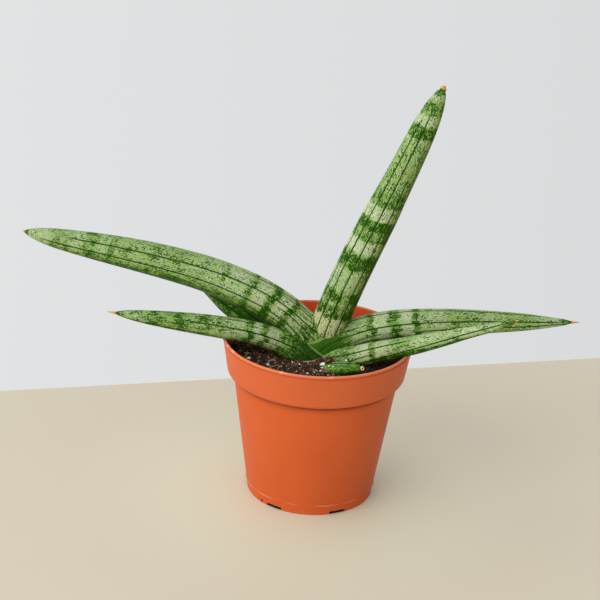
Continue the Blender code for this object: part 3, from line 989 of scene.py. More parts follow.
# From the youngest to the oldest: each one clasps those listed before it.
LEAVES = (
    Leaf(
        name="upright_leaf",
        node="leaf_upright",
        spine=((-1, 6, FOOT), (-1, 6, 95), (30.3, 8, 163), (59.2, 10, 236.6)),
        radius=10.1,
        nudge=(
            (60, 0.0), (84, -0.1), (99, -0.3), (118, -0.4), (133, -0.4), (148, -0.3), (162, 0.0),
            (172, 0.15), (179, 0.45), (187, 0.5),
        ),
        trim=(
            (92, 0.0), (108, 0.0), (118, -0.42), (133, -0.44), (147, -0.14), (157, 0.22), (167, 0.47),
            (174, 0.6), (178, 0.52), (187, 0.52),
        ),
        clasp=(7.6, 7.6, 7.6),
        clasp_end=30.0,
        taper=4.4,
        spike=1.4,
        cap=1.2,
        base_end=10.0,
        blanched=0.5,
        spike_radius=1.7,
        spike_point=0.45,
        furrows=(
            (134, 134, 0.0, 0.92), (167, 167, 0.0, 0.96), (202, 202, 0.0, 0.74), (233, 233, 0.0, 0.6),
            (266, 266, 0.0, 0.9), (303, 303, 0.0, 0.8), (338, 338, 0.0, 0.93), (10, 10, 0.0, 0.7),
            (42, 42, 0.0, 0.9), (76, 76, 0.0, 0.85), (106, 106, 0.3, 0.62),
        ),
        minors=0,
        bands=(
            (0, 0.6), (32.4, 0.55), (35.4, 0.25), (43.4, 0.22), (44.4, 0.98), (46.8, 0.96), (48.3, 0.85),
            (53.2, 0.6), (55.6, 0.92), (59, 0.88), (61, 0.36), (73.2, 0.3), (75.2, 1.0), (80.6, 1.0),
            (83.5, 0.55), (86, 0.12), (91.9, 0.12), (92.9, 0.92), (94.9, 0.6), (98.3, 0.6), (99.8, 1.0),
            (104.2, 0.96), (106.1, 0.15), (112.4, 0.2), (114.4, 0.8), (120.8, 0.78), (123.7, 0.52),
            (149.4, 0.5), (154.8, 0.36), (156.3, 1.0), (161.3, 1.0), (163.3, 0.2), (168.2, 0.22),
            (169.7, 0.8), (171.2, 0.45), (172.7, 0.85), (176.1, 0.8), (177.6, 0.3), (180, 0.35),
            (180.9, 0.95), (186.8, 0.95),
        ),
        scars=((133.5, 171, 0.6), (135.2, 158, 0.4), (129.5, 214, 0.3)),
    ),
    Leaf(
        name="left_upper_leaf",
        node="leaf_left_upper",
        spine=((-2.5, 6, FOOT), (-2.5, 6, 96), (-4, 6, 117.4), (-94, 12, 127.6), (-166.5, 16, 138.6)),
        radius=10.7,
        nudge=(
            (0, 0.0), (25, -0.1), (40, -0.3), (60, -0.1), (80, 0.5), (94, 1.25), (126, 1.2), (150, 0.8),
            (175, 0.28), (190, 0.1), (202, 0.2),
        ),
        trim=(
            (0, 0.0), (25, 0.0), (40, -0.55), (56, -0.5), (68, -0.15), (85, -0.3), (100, -0.47),
            (150, -0.5), (170, -0.4), (180, -0.15), (185, -0.05), (190, 0.0), (194, -0.08), (197, -0.1),
            (199, 0.1), (202, 0.35),
        ),
        clasp=(11.2, 24.0, 10.0),
        clasp_end=40.0,
        taper=3.9,
        spike=1.1,
        spike_radius=0.8,
        cap=3.0,
        base_end=24.0,
        blanched=0.15,
        under_cover_and_shade=0.56,
        under_from=(0.0, 0.65),
        furrows=(
            (38, 38, 0.0, 0.9), (-5, -5, 0.0, 0.98), (-50, -52, 0.0, 0.85), (-96, -96, 0.0, 0.95),
            (-141, -141, 0.0, 0.8), (176, 174, 0.0, 0.93), (128, 128, 0.0, 0.88), (80, 84, 0.0, 0.42),
        ),
        bands=(
            (0, 0.7), (31.5, 0.7), (34.5, 0.85), (36.5, 0.4), (43.5, 0.35), (44.9, 0.92), (46.9, 0.9),
            (48.3, 0.2), (54.1, 0.2), (55.6, 0.92), (58.9, 0.9), (60.8, 0.16), (67.5, 0.25), (69.4, 0.7),
            (70.6, 0.66), (72.8, 0.3), (83.1, 0.28), (85.6, 0.5), (88, 0.36), (97, 0.44), (108, 0.44),
            (112, 0.6), (116, 0.5), (121, 0.45), (125, 0.55), (136, 0.45), (141, 0.55), (146, 0.45),
            (148.5, 0.7), (151.5, 0.42), (156.5, 0.45), (159.5, 0.7), (163, 0.7), (166, 0.32),
            (170, 0.32), (173, 0.55), (176, 0.42), (178.5, 0.66), (181, 0.62), (184, 0.3), (201, 0.3),
        ),
    ),
    Leaf(
        name="right_upper_leaf",
        node="leaf_right_upper",
        spine=((0.5, 5, FOOT), (0.5, 5, 107.5), (58, 6.5, 101.6), (145.6, 20, 102.3)),
        radius=8.9,
        clasp=(12.8, 20.5, 11.0),
        clasp_end=40.0,
        taper=2.25,
        trim=((135, 0.0), (142, -0.15), (152, -0.25), (158, -0.1), (161, 0.0)),
        spike=4.4,
        spike_radius=0.8,
        spike_point=0.3,
        cap=2.4,
        base_end=37.0,
        base_color="#2A5A00",
        furrows=(
            (157, 157, 0.0, 0.97), (203, 186, 0.45, 0.99), (215, 222, 0.0, 0.5), (262, 262, 0.0, 0.9),
            (310, 310, 0.0, 0.8), (0, 0, 0.0, 0.93), (50, 50, 0.0, 0.85), (99, 99, 0.0, 0.9),
        ),
        bands=(
            (0, 0.7), (34.5, 0.6), (37.5, 0.42), (47, 0.4), (48.5, 0.85), (50.4, 0.8), (51.7, 0.14),
            (58, 0.14), (59.2, 0.85), (63.4, 0.78), (65.4, 0.14), (71.1, 0.14), (72.2, 0.92),
            (74.5, 0.88), (75.9, 0.26), (79.1, 0.4), (83.2, 0.26), (89.5, 0.36), (93.6, 0.54),
            (108, 0.52), (112, 0.4), (122, 0.42), (125, 0.55), (128.5, 0.52), (131, 0.42), (134, 0.55),
            (137, 0.5), (139, 0.4), (140.5, 0.5), (143, 0.32), (155.4, 0.32), (156.2, 0.95),
        ),
        scars=((83.5, 139, 0.6), (86.5, 165, 0.55), (78.0, 150, 0.35), (91.0, 147, 0.3)),
    ),
    Leaf(
        name="left_lower_leaf",
        node="leaf_left_lower",
        spine=((-3, 4.5, FOOT), (-3, 4.5, 92), (-42, -8, 98.0), (-58, -12, 100.5), (-114.5, -18, 107.9)),
        radius=6.9,
        clasp=(15.0, 16.5, 10.0),
        clasp_end=38.0,
        taper=2.9,
        spike=4.0,
        cap=2.6,
        base_end=30.0,
        # darker than the other bases: painted shade, for the shade at the middle of the plant
        base_color="#143E00",
        spike_radius=0.7,
        furrows=(
            (16, 36, 0.0, 0.72), (75, 75, 0.42, 0.56), (-28, -40, 0.6, 0.97), (-80, -80, 0.0, 0.85),
            (-135, -135, 0.0, 0.9), (170, 170, 0.0, 0.8), (118, 118, 0.0, 0.9),
        ),
        minors=3,
        minor_end=0.3,
        bands=(
            (0, 0.9), (30, 0.85), (32.5, 0.8), (36, 0.85), (38, 0.2), (43.8, 0.18), (45, 0.95),
            (47.4, 0.9), (48.8, 0.18), (52, 0.2), (53.2, 0.9), (56.4, 0.82), (58.4, 0.3), (65, 0.34),
            (70, 0.5), (76, 0.46), (78, 0.7), (81, 0.7), (83, 0.5), (91, 0.58), (93, 0.9), (96.5, 0.85),
            (98.5, 0.62), (104, 0.62), (106, 0.82), (109, 0.8), (111.5, 0.5), (123, 0.46), (125, 0.85),
        ),
        under_cover_and_shade=0.45,
        scars=((83.0, 92, 0.45), (79.0, 96, 0.3), (115.5, 88, 0.4)),
    ),
    Leaf(
        name="right_lower_leaf",
        node="leaf_right_lower",
        spine=((3, 4, FOOT), (3, 4, 83), (42.5, -20.5, 92.8), (106.6, -30, 122.7)),
        radius=7.1,
        clasp=(13.0, 15.0, 10.0),
        clasp_end=34.0,
        taper=1.4,
        nudge=((70, 0.0), (82, 0.15), (92, 0.3), (103, 0.5), (110, 0.15), (116, 0.0)),
        trim=((70, 0.0), (82, -0.15), (92, -0.25), (103, -0.42), (110, -0.1), (116, 0.1), (124, 0.1)),
        spike=2.2,
        cap=2.0,
        base_end=14.0,
        spike_radius=0.55,
        furrows=(
            (152, 110, 0.0, 0.56), (236, 150, 0.3, 0.97), (280, 250, 0.0, 0.8), (330, 330, 0.0, 0.9),
            (20, 20, 0.0, 0.8), (68, 68, 0.0, 0.9),
        ),
        minors=1,
        bands=(
            (0, 0.85), (29, 0.6), (35, 0.46), (38, 0.1), (43, 0.05), (44.3, 0.75), (46.3, 0.75),
            (48, 0.22), (55, 0.28), (57, 0.5), (60, 0.55), (68, 0.48), (72, 0.32), (85, 0.3), (87, 0.4),
            (90, 0.25), (92, 0.45), (95.5, 0.4), (98, 0.22), (107, 0.25), (109, 0.55), (111, 0.3),
            (117, 0.35), (120, 0.75),
        ),
        under_cover_and_shade=0.9,
        under_from=(0.1, 0.38),
    ),
    Leaf(
        name="back_leaf",
        node="leaf_back",
        spine=((-4, 9, FOOT), (-4, 9, 88), (-66, 19.5, 101.0), (-76.5, 36, 116.5)),
        radius=7.7,
        clasp=(14.0, 15.0, 11.0),
        clasp_end=40.0,
        channel=0.55,
        channel_end=110.0,
        trim=((0, 0.0), (62, 0.0), (67, -0.3), (71, -0.8), (75, -1.4), (80, -1.6), (92, -1.2)),
        cap=3.0,
        base_end=58.0,
        base_color="#2A5A0A",
        furrows=(
            (15, 15, 0.0, 0.9), (-40, -40, 0.0, 0.95), (-90, -90, 0.0, 0.9), (-145, -145, 0.0, 0.9),
            (165, 165, 0.0, 0.9), (90, 90, 0.0, 0.7),
        ),
        minors=1,
        bands=((0, 0.9), (60, 0.95), (66, 1.15), (72, 1.0), (78, 1.15), (86, 1.0), (110, 0.95)),
    ),
)

SHORT_LEAF = Leaf(
    name="short_leaf",
    node="leaf_short",
    spine=((1, -13, 71.5), (0, -16.0, 80.3), (12, -21.4, 84.8), (25.2, -22.3, 85.2)),
    radius=3.55,
    clasp=(3.2, 3.2, 3.2),
    clasp_end=10.0,
    taper=6.0,
    tip_rounding=0.4,
    spike=0.8,
    spike_radius=0.9,
    cap=0.3,
    base_end=2.0,
    furrows=((96, 96, 0.0, 0.9), (212, 212, 0.0, 0.6), (330, 330, 0.0, 0.9), (40, 40, 0.0, 0.9)),
    minors=0,
    bands=((0.0, 0.8), (12.0, 0.75), (18.0, 0.7), (24.0, 0.78), (33.0, 0.7)),
    slot="young_leaf_green",
    skin=WaxyLeafSkin(
        pale="#9CC462", pale_green="#6DA52E", fleck="#3D8008", dark="#226204", line="#1A4C04",
        under="#448518", gloss=0.4, roughness=(0.24, 0.32), fleck_size=0.7,
    ),
)


# Pot


@dataclass(frozen=True)
class NurseryPot:
    """Injection-moulded nursery pot: tapered body, rim band, lip bead, notched foot and drain holes.

    Where a field is a point of the section, its two numbers are the radius and the height.
    """

    height: float = 92.8
    lip_radius: float = 52.85
    wall: float = 1.2
    bead_radius: float = 0.85
    bead_foot: Flat = (52.4, 90.7)
    bead_groove: float = 0.5
    band_foot: Flat = (49.5, 73.3)
    shoulder_foot: Flat = (46.08, 71.55)
    shoulder_bulge: Flat = (48.9, 71.55)
    shoulder_groove: Flat = (0.8, 2.0)  # depth and height of the shaded groove under the band
    wall_slope: float = 0.148  # how far the wall leans out on each millimetre up
    parting: Flat = (36.4, 6.0)
    parting_ridge: float = 0.24
    foot_radius: float = 35.7
    foot_ring: float = 2.6
    floor_lift: float = 2.2
    centre_pad: float = 12.0
    pad_slope: float = 1.4
    notch_count: int = 6
    notch_turn: float = -122.2
    notch_size: Flat = (9.7, 1.9)
    notch_reach: Flat = (33.8, 8.0)  # distance of its middle from the axis, and its size outwards
    slot_turn: float = -14.2  # degrees from a notch to the slot beside it
    slot_size: Flat = (2.0, 2.3)
    slot_reach: Flat = (35.9, 2.6)
    drain_radius: float = 3.2
    drain_circle: float = 26.0
    sides: int = 288
    sharp: float = 32.0
    straight: Point = (3.0, 6.0, 0.4)  # shortest stretch that gets more points, their spacing, the first one

    splashed: Point = (70.0, 80.0, 90.5)  # lowest level of splashes, and levels between which they thin out
    splash_shares: Flat = (0.45, 0.55)
    handled: Flat = (0.45, 0.4)  # share of scuffs on the lip, and how much more at the front left
    front_left: Flat = (-0.5, -0.87)
    glow_share: float = 0.9
    painted_light_shares: Flat = (0.07, 0.4)  # share of painted light on the band, and of painted highlight on its upper edge
    painted_shade_by_height: Table = (  # height above the shoulder's foot, and share of painted shade
        (-70.0, 0.14), (-40.0, 0.07), (-16.0, 0.0), (-5.2, 0.0), (-3.4, 0.16), (-2.0, 0.45), (-0.9, 1.0)
    )
    painted_shade_share: float = 0.75

    def inner_radius(self, height: float) -> float:
        """Radius of the inside at a height.

        Args:
            height: The height.

        Returns:
            The radius, on the straight stretches between parting line, shoulder, band and lip.
        """
        low, shoulder, band = self.parting, self.shoulder_foot, self.band_foot
        high = shoulder
        if height > shoulder[1]:
            low, high = (shoulder, band) if height < band[1] else (band, (self.lip_radius, self.height))
        return low[0] + (high[0] - low[0]) * (height - low[1]) / (high[1] - low[1]) - self.wall

    def profile(self) -> list[Flat]:
        """Works out the section.

        Returns:
            Its points, from the middle of the underside, up the outside and back down the inside.
        """
        ring_inner = self.foot_radius - self.foot_ring
        floor_top = self.floor_lift + self.wall
        ridge = self.parting[0] + self.parting_ridge
        underside = [
            (0.0, 0.0),
            (self.centre_pad, 0.0),
            (self.centre_pad + self.pad_slope, self.floor_lift),
            (ring_inner, self.floor_lift),
            (ring_inner, 0.3),
            (ring_inner + 0.3, 0.0),
            (self.foot_radius - 0.4, 0.0),
            (self.foot_radius - 0.1, 0.3),
        ]
        shoulder, level = self.shoulder_foot
        groove, rise = self.shoulder_groove
        outside = [
            (self.foot_radius, 0.9),
            (self.foot_radius, 2.2),
            (self.parting[0] - 0.25, self.parting[1] - 0.35),
            (ridge, self.parting[1] - 0.1),
            (ridge, self.parting[1] + 0.15),
            (self.parting[0] + 0.05, self.parting[1] + 0.4),
            *((shoulder - self.wall_slope * drop, level - drop) for drop in (5.2, 3.4)),
            (shoulder - 0.25, level - rise),
            (shoulder - groove, level - 0.45 * rise),
            (shoulder - groove, level - 0.06 * rise),
            self.shoulder_foot,
        ]
        pulls = (self.shoulder_foot, self.shoulder_bulge, self.band_foot)
        for t in (i / 12 for i in range(1, 13)):
            mix = ((1 - t) ** 2, 2 * (1 - t) * t, t * t)
            outside.append(tuple(sum(m * pull[k] for m, pull in zip(mix, pulls)) for k in (0, 1)))
        foot = self.bead_foot
        outside += [
            (foot[0] - 0.06, foot[1] - 0.45),
            (foot[0] - self.bead_groove, foot[1] - 0.2),
            (foot[0] - self.bead_groove, foot[1]),
        ]
        bead = self.bead_radius
        centre = (self.lip_radius - bead, self.height - bead)
        turns = [math.radians(angle) for angle in range(-60, 181, 20)]
        outside += [(centre[0] + bead * math.cos(a), centre[1] + bead * math.sin(a)) for a in turns]
        inside = [
            (self.inner_radius(self.band_foot[1]), self.band_foot[1]),
            (self.inner_radius(self.shoulder_foot[1]), self.shoulder_foot[1]),
            (self.inner_radius(floor_top), floor_top),
            (self.centre_pad, floor_top),
            (self.centre_pad - self.pad_slope, self.wall),
            (0.0, self.wall),
        ]
        return self.with_supports(underside + outside + inside)

    def with_supports(self, profile: Sequence[Flat]) -> list[Flat]:
        """Adds points along the long straight stretches, so that smooth shading stays at their ends.

        Args:
            profile: The section's corners.

        Returns:
            The section with more points on its long stretches.
        """
        made = [profile[0]]
        shortest, spacing, edge = self.straight
        for (r0, z0), (r1, z1) in zip(profile, profile[1:]):
            run = math.hypot(r1 - r0, z1 - z0)
            if run > shortest:
                steps = max(2, round(run / spacing))
                shares = [edge / run, *(i / steps for i in range(1, steps)), 1.0 - edge / run]
                made += [(r0 + (r1 - r0) * s, z0 + (z1 - z0) * s) for s in shares]
            made.append((r1, z1))
        return made

    def cutters(self) -> list[Object]:
        """Builds what is cut away.

        Returns:
            The foot's notches, the slots beside every second one, and the floor's drain holes.
        """
        made = []
        for i in range(self.notch_count):
            turn = math.radians(self.notch_turn + 360.0 * i / self.notch_count)
            spin = Matrix.Rotation(turn, 3, "Z")
            made.append(self.block(f"notch_cutter_{i}", self.notch_reach, self.notch_size, spin))
            if i % 2 == 0:
                aside = spin @ Matrix.Rotation(math.radians(self.slot_turn), 3, "Z")
                made.append(self.block(f"slot_cutter_{i}", self.slot_reach, self.slot_size, aside))
            section = [(0.0, 1.0), (self.drain_radius, 1.0), (self.drain_radius, 5.0), (0.0, 5.0)]
            points, faces = turned(section, 48)
            points = points + np.array(spin @ Vector((self.drain_circle, 0.0, 0.0)))
            made.append(mesh_object(f"drain_cutter_{i}", points, faces))
        return made

    def block(self, name: str, reach: Flat, size: Flat, spin: Matrix) -> Object:
        """Makes a box-shaped cutter that starts below the foot.

        Args:
            name: Its name.
            reach: Distance of its middle from the axis, and its size outwards.
            size: Its width and its highest level.
            spin: The turn about the pot's axis.

        Returns:
            The cutter.
        """
        corners = [
            spin @ Vector((reach[0] + sx * reach[1] / 2, sy * size[0] / 2, z))
            for z in (-2.0, size[1])
            for sx, sy in ((-1, -1), (1, -1), (1, 1), (-1, 1))
        ]
        return mesh_object(name, np.array(corners), BOX_FACES)

    def build(self) -> Object:
        """Builds the pot and dresses it in moulded plastic.

        Returns:
            The piece.
        """
        points, faces = turned(self.profile(), self.sides)
        made = mesh_object("pot_shell", points, faces, self.sharp)
        cutters = self.cutters()
        cut_away(made, cutters, self.sharp)
        for cutter in cutters:
            bpy.data.objects.remove(cutter)
        self.mark(made.data)
        made.data.materials.clear()
        made.data.materials.append(MouldedPolypropylene().material())
        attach(made, "root")
        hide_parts("pot")
        return made

    def mark(self, mesh: bpy.types.Mesh) -> None:
        """Stores where the plastic is splashed or scuffed, and where painted light, painted shade and painted
        glow go.

        Args:
            mesh: The shell.
        """
        points = mesh_points(mesh)
        x, y, z = points.T
        radius = np.hypot(x, y)
        inner = np.array([self.inner_radius(level) for level in z])
        lowest, low, high = self.splashed
        inside = (radius < inner + 0.2) & (z > lowest)
        fade = 1.0 - smoothstep(low, high, z)
        shares = self.splash_shares
        set_attribute(mesh, "splash", np.where(inside, shares[0] + shares[1] * fade, 0.0))
        toward = self.front_left[0] * x / radius.clip(1.0) + self.front_left[1] * y / radius.clip(1.0)
        handled = self.handled[0] + self.handled[1] * smoothstep(0.2, 0.9, toward)
        set_attribute(mesh, "lip", smoothstep(self.bead_foot[1] - 0.1, self.height - 0.2, z) * handled)
        # Painted light: the band a little lighter, with a painted highlight along its top edge and a broken
        # one along the parting ridge.
        low, high = self.band_foot[1], self.height
        band, edge = self.painted_light_shares
        painted_light_shares = ((low, 0.0), (low + 0.4, band), (high - 1.2, band), (high - 0.3, edge), (high, edge))
        turns = np.arctan2(y, x)
        broken = np.clip(0.25 + 0.3 * np.sin(5.0 * turns + 1.2) + 0.35 * np.sin(13.0 * turns), 0.0, 0.75)
        outside = radius > inner + 0.3
        ridge = (np.abs(z - self.parting[1]) < 0.2) & outside
        set_attribute(mesh, "worn", look_up(painted_light_shares, z, 0.0) + broken * ridge)
        # Painted shade: dark in the groove under the band, for the band's shadow, and a little darker towards
        # the foot.
        dust = look_up(self.painted_shade_by_height, z - self.shoulder_foot[1], 0.0)
        under_band = (z < self.shoulder_foot[1] + 0.3) & outside
        set_attribute(mesh, "dust", self.painted_shade_share * dust * under_band)
        set_attribute(mesh, "inside", np.where(inside & (z < self.height - 0.6), self.glow_share, 0.0))


# Potting mix


@dataclass(frozen=True)
class SoilBed:
    """The plug of potting mix: its sides follow the pot, and its top is mounded and lumpy."""

    pot: NurseryPot
    level: float = 80.0
    mound: float = 1.5
    lumps: tuple[Point, ...] = ((0.13, 0.7, 2.7), (0.31, 0.42, 8.1))  # waves per mm, height, seed
    clods: tuple[Point, ...] = ((0.55, 0.9, 4.4), (1.3, 0.4, 6.2))
    heaps: tuple[Four, ...] = ((6.5, -13.0, 3.4, 6.0), (2.0, -22.0, 1.2, 5.0))  # place, height, spread
    gap: float = 0.12
    edge_drop: float = 2.0  # the edge is narrow enough for the pot this far below the level
    bare_tone: float = 0.12
    sharp: float = 60.0
    sides: int = 300
    rings: int = 120

    def top(self, x: float, y: float) -> float:
        """Works out the height of the surface at a place.

        Args:
            x: Place to the right.
            y: Place away from the viewer.

        Returns:
            The height in millimetres.
        """
        reach = math.hypot(x, y) / self.pot.inner_radius(self.level)
        height = self.level + self.mound * (1.0 - reach * reach)
        for waves, size, seed in self.lumps + self.clods:
            height += size * noise.noise(Vector((x * waves, y * waves, seed)))
        for at_x, at_y, size, spread in self.heaps:
            height += size * math.exp(-((x - at_x) ** 2 + (y - at_y) ** 2) / (spread * spread))
        return height

    def build(self, cutters: Sequence[Object]) -> Object:
        """Builds the bed with a hole for each leaf.

        Args:
            cutters: What stands in the soil.

        Returns:
            The bed.
        """
        pot = self.pot
        floor = pot.floor_lift + pot.wall + self.gap
        edge = pot.inner_radius(self.level - self.edge_drop) - self.gap
        sides = [
            (0.0, pot.wall + self.gap),
            (pot.centre_pad - pot.pad_slope - self.gap, pot.wall + self.gap),
            (pot.centre_pad - self.gap, floor),
            (pot.inner_radius(floor) - self.gap, floor),
            (pot.inner_radius(pot.shoulder_foot[1]) - self.gap, pot.shoulder_foot[1] + self.gap),
            (pot.inner_radius(pot.band_foot[1]) - self.gap, pot.band_foot[1] + self.gap),
        ]
        tops = [(edge * (1.0 - i / self.rings), self.level) for i in range(self.rings)]
        points, faces = turned([*sides, *tops, (0.0, self.level)], self.sides)
        for i in range(1 + self.sides * (len(sides) - 1), len(points)):
            points[i, 2] = self.top(points[i, 0], points[i, 1])
        made = mesh_object("soil_bed", points, faces, self.sharp)
        cut_away(made, cutters, self.sharp)
        set_attribute(made.data, "tone", np.full(len(made.data.vertices), self.bare_tone))
        made.data.materials.clear()
        made.data.materials.append(PEAT.material())
        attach(made, "root")
        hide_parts("soil")
        return made


# Milled peat, damp: dull and nearly black, with brown where a crumb has dried.
PEAT = CrumbFinish("milled_peat", ("#160C06", "#332013", "#543924", "#795537", "#A27A54"), 0.5, 0.25)
# Bark, broken and composted: reddish chips with a coarse, matt grain.
BARK = CrumbFinish("composted_bark", ("#24130A", "#4A2B18", "#704628", "#986439", "#BE915E"), 0.45, 0.2)
# Rock glass, blown up by heat: bright white grains with fine pores.
PERLITE = CrumbFinish("expanded_perlite", ("#C2BBA8", "#ECE9DE", "#FDFDF6", "#FFFFFC"), 0.5, 0.15)
# Wood, shredded to fibres: pale straw-coloured slivers.
WOOD_FIBRE = CrumbFinish("shredded_wood_fibre", ("#7A653F", "#B29C6A", "#D3C596", "#EDE4C6"), 0.5, 0.12)
# Leaf sheath, dried on the shoot: papery, from grey green to nearly white where it is thin.
DRY_SHEATH = CrumbFinish("dry_leaf_sheath", ("#6F6B45", "#A9AC7E", "#D5D3B6", "#ECE9DC"), 0.8, 0.05, 0.7)
# Leaf tip, healed over: a corky cream skin, brown in its dimple.
DRIED_TIP = CrumbFinish("dried_leaf_tip", ("#9A5618", "#DDB070", "#FFEBB4", "#FFF2C6"), 0.4, 0.05, 0.6)
# Rhizome skin, grown without light: firm and cream, with a faint grain.
RHIZOME_SKIN = CrumbFinish("rhizome_skin", ("#C9A873", "#D9BC8A", "#E6CFA2", "#EBD9B2"), 1.5, 0.1, 0.6)


class Grain(Enum):
    """The kinds of loose particle in the mix: name, finish, count, sizes, stretch and roundness."""

    PEAT_CRUMBS = ("peat_crumbs", PEAT, 5600, (0.4, 1.6), (1.1, 0.9, 0.8), 1)
    BARK_CHIPS = ("bark_chips", BARK, 900, (0.8, 2.4), (1.7, 0.75, 0.45), 2)
    PERLITE_GRAINS = ("perlite_grains", PERLITE, 60, (0.4, 1.1), (1.1, 0.9, 0.85), 2)
    FIBRE_BITS = ("wood_fibre_bits", WOOD_FIBRE, 150, (0.5, 1.3), (2.2, 0.6, 0.4), 1)

    def __init__(
        self, piece: str, finish: CrumbFinish, count: int, sizes: Flat, stretch: Point, rounds: int
    ) -> None:
        """Keeps the kind's facts.

        Args:
            piece: Name of the piece.
            finish: Surface of the particles.
            count: How many are scattered.
            sizes: Smallest and largest size.
            stretch: Length, width and thickness of a particle of size 1.
            rounds: How often the blank is subdivided.
        """
        self.piece = piece
        self.finish = finish
        self.count = count
        self.sizes = sizes
        self.stretch = stretch
        self.rounds = rounds


# Larger grains that show where they do in the pot: place and size in millimetres.
PLACED = {
    Grain.PERLITE_GRAINS: (
        (3.4, -17.2, 83.9, 2.2), (3.2, -20.8, 83.5, 1.5), (2.5, -23.0, 82.7, 1.1), (-0.8, -23.2, 81.8, 0.9),
        (6.9, -20.6, 84.7, 1.3), (9.1, -21.9, 85.0, 0.8), (6.7, -25.5, 81.5, 0.7), (16.3, -10.9, 84.2, 1.0),
        (-37.6, -9.4, 81.4, 1.9), (-31.9, -11.7, 81.6, 0.6), (-9.5, -14.0, 81.6, 1.2),
        (-10.5, -22.6, 81.3, 0.8), (-18.6, -13.2, 81.4, 0.8), (-19.0, -18.0, 81.7, 0.7),
    ),
    Grain.FIBRE_BITS: ((-9.2, -14.6, 81.8, 1.4), (-12.1, -12.6, 81.9, 1.2)),
}


@dataclass(frozen=True)
class LooseMix:
    """Crumbs, chips and perlite that lie on the bed, none of them inside a leaf."""

    bed: SoilBed
    solids: list[BVHTree]
    placed: Mapping[Grain, tuple[Four, ...]]
    placed_tone: float = 0.8  # the least that a placed grain has
    seed: int = 11
    leaf_gap: float = 0.3
    rim_gap: float = 0.8
    lift: Flat = (0.0, 0.35)  # how far a particle's middle lies above the bed, as a share of its thickness
    tilt: float = 0.35  # spread of the particles' tilt in radians
    uneven: float = 0.25  # how far a particle's size and its corners stray from the blank's
    sharp: float = 28.0
    shade_span: Flat = (24.0, 36.0)  # how far to the front right the painted shade under the right leaves starts, and where it is full
    shade_share: float = 0.75

    def unshaded_share(self, x: float, y: float) -> float:
        """How much of a particle's tone is left at a place, with painted shade under the right leaves."""
        return 1.0 - self.shade_share * float(smoothstep(*self.shade_span, 0.8 * x - 0.6 * y))

    def blank(self, rounds: int) -> tuple[np.ndarray, np.ndarray]:
        """Makes a rounded blank of unit size.

        Args:
            rounds: How often it is subdivided.

        Returns:
            Its points and its triangles.
        """
        shape = bmesh.new()
        bmesh.ops.create_icosphere(shape, subdivisions=rounds, radius=0.5)
        points = np.array([v.co for v in shape.verts])
        faces = np.array([[v.index for v in f.verts] for f in shape.faces])
        shape.free()
        return points, faces

    def free_of_leaves(self, place: Vector) -> bool:
        """Tells whether a place is clear of the leaves.

        Args:
            place: The place, in metres.

        Returns:
            Whether it lies outside every leaf, and not too near one.
        """
        for solid in self.solids:
            spot, normal, _, distance = solid.find_nearest(place, 4.0 * MM)
            if spot is not None and ((place - spot).dot(normal) < 0.0 or distance < self.leaf_gap * MM):
                return False
        return True

    def places(self, grain: Grain, draw: np.random.Generator) -> list[Four]:
        """Draws where the particles of one kind lie.

        Args:
            grain: The kind.
            draw: The seeded generator.

        Returns:
            Place and size of each particle.
        """
        found = list(self.placed.get(grain, ()))
        reach = self.bed.pot.inner_radius(self.bed.level) - self.rim_gap
        while len(found) < grain.count:
            size = grain.sizes[0] + (grain.sizes[1] - grain.sizes[0]) * draw.random() ** 2.0
            radius = (reach - size / 2) * math.sqrt(draw.random())
            turn = draw.uniform(0.0, TURN)
            x, y = radius * math.cos(turn), radius * math.sin(turn)
            z = self.bed.top(x, y) + size * grain.stretch[2] * draw.uniform(*self.lift)
            if self.free_of_leaves(Vector((x, y, z)) * MM):
                found.append((x, y, z, size))
        return found

    def build(self, grain: Grain) -> Object:
        """Builds every particle of one kind as one piece.

        Args:
            grain: The kind.

        Returns:
            The piece.
        """
        draw = np.random.default_rng(self.seed + len(grain.piece))
        unit, triangles = self.blank(grain.rounds)
        points, faces, tones = [], [], []
        for i, (x, y, z, size) in enumerate(self.places(grain, draw)):
            stretch = np.array(grain.stretch) * draw.uniform(1.0 - self.uneven, 1.0 + self.uneven, 3)
            rough = unit * (1.0 + draw.uniform(-self.uneven, self.uneven, (len(unit), 1)))
            aside, ahead = (Matrix.Rotation(draw.normal(0.0, self.tilt), 3, axis) for axis in "XY")
            spin = np.array(Matrix.Rotation(draw.uniform(0.0, 6.28), 3, "Z") @ (aside @ ahead))
            points.append((rough * stretch * size) @ spin.T + (x, y, z))
            faces.append(triangles + i * len(unit))
            # painted shade darkens the particles under the right leaves
            tone = draw.random() * self.unshaded_share(x, y)
            if i < len(self.placed.get(grain, ())):
                tone = max(tone, self.placed_tone)
            tones.append(np.full(len(unit), tone))
        made = mesh_object(grain.piece, np.vstack(points), np.vstack(faces).tolist(), self.sharp)
        set_attribute(made.data, "tone", np.concatenate(tones))
        made.data.materials.append(grain.finish.material())
        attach(made, "root")
        return made


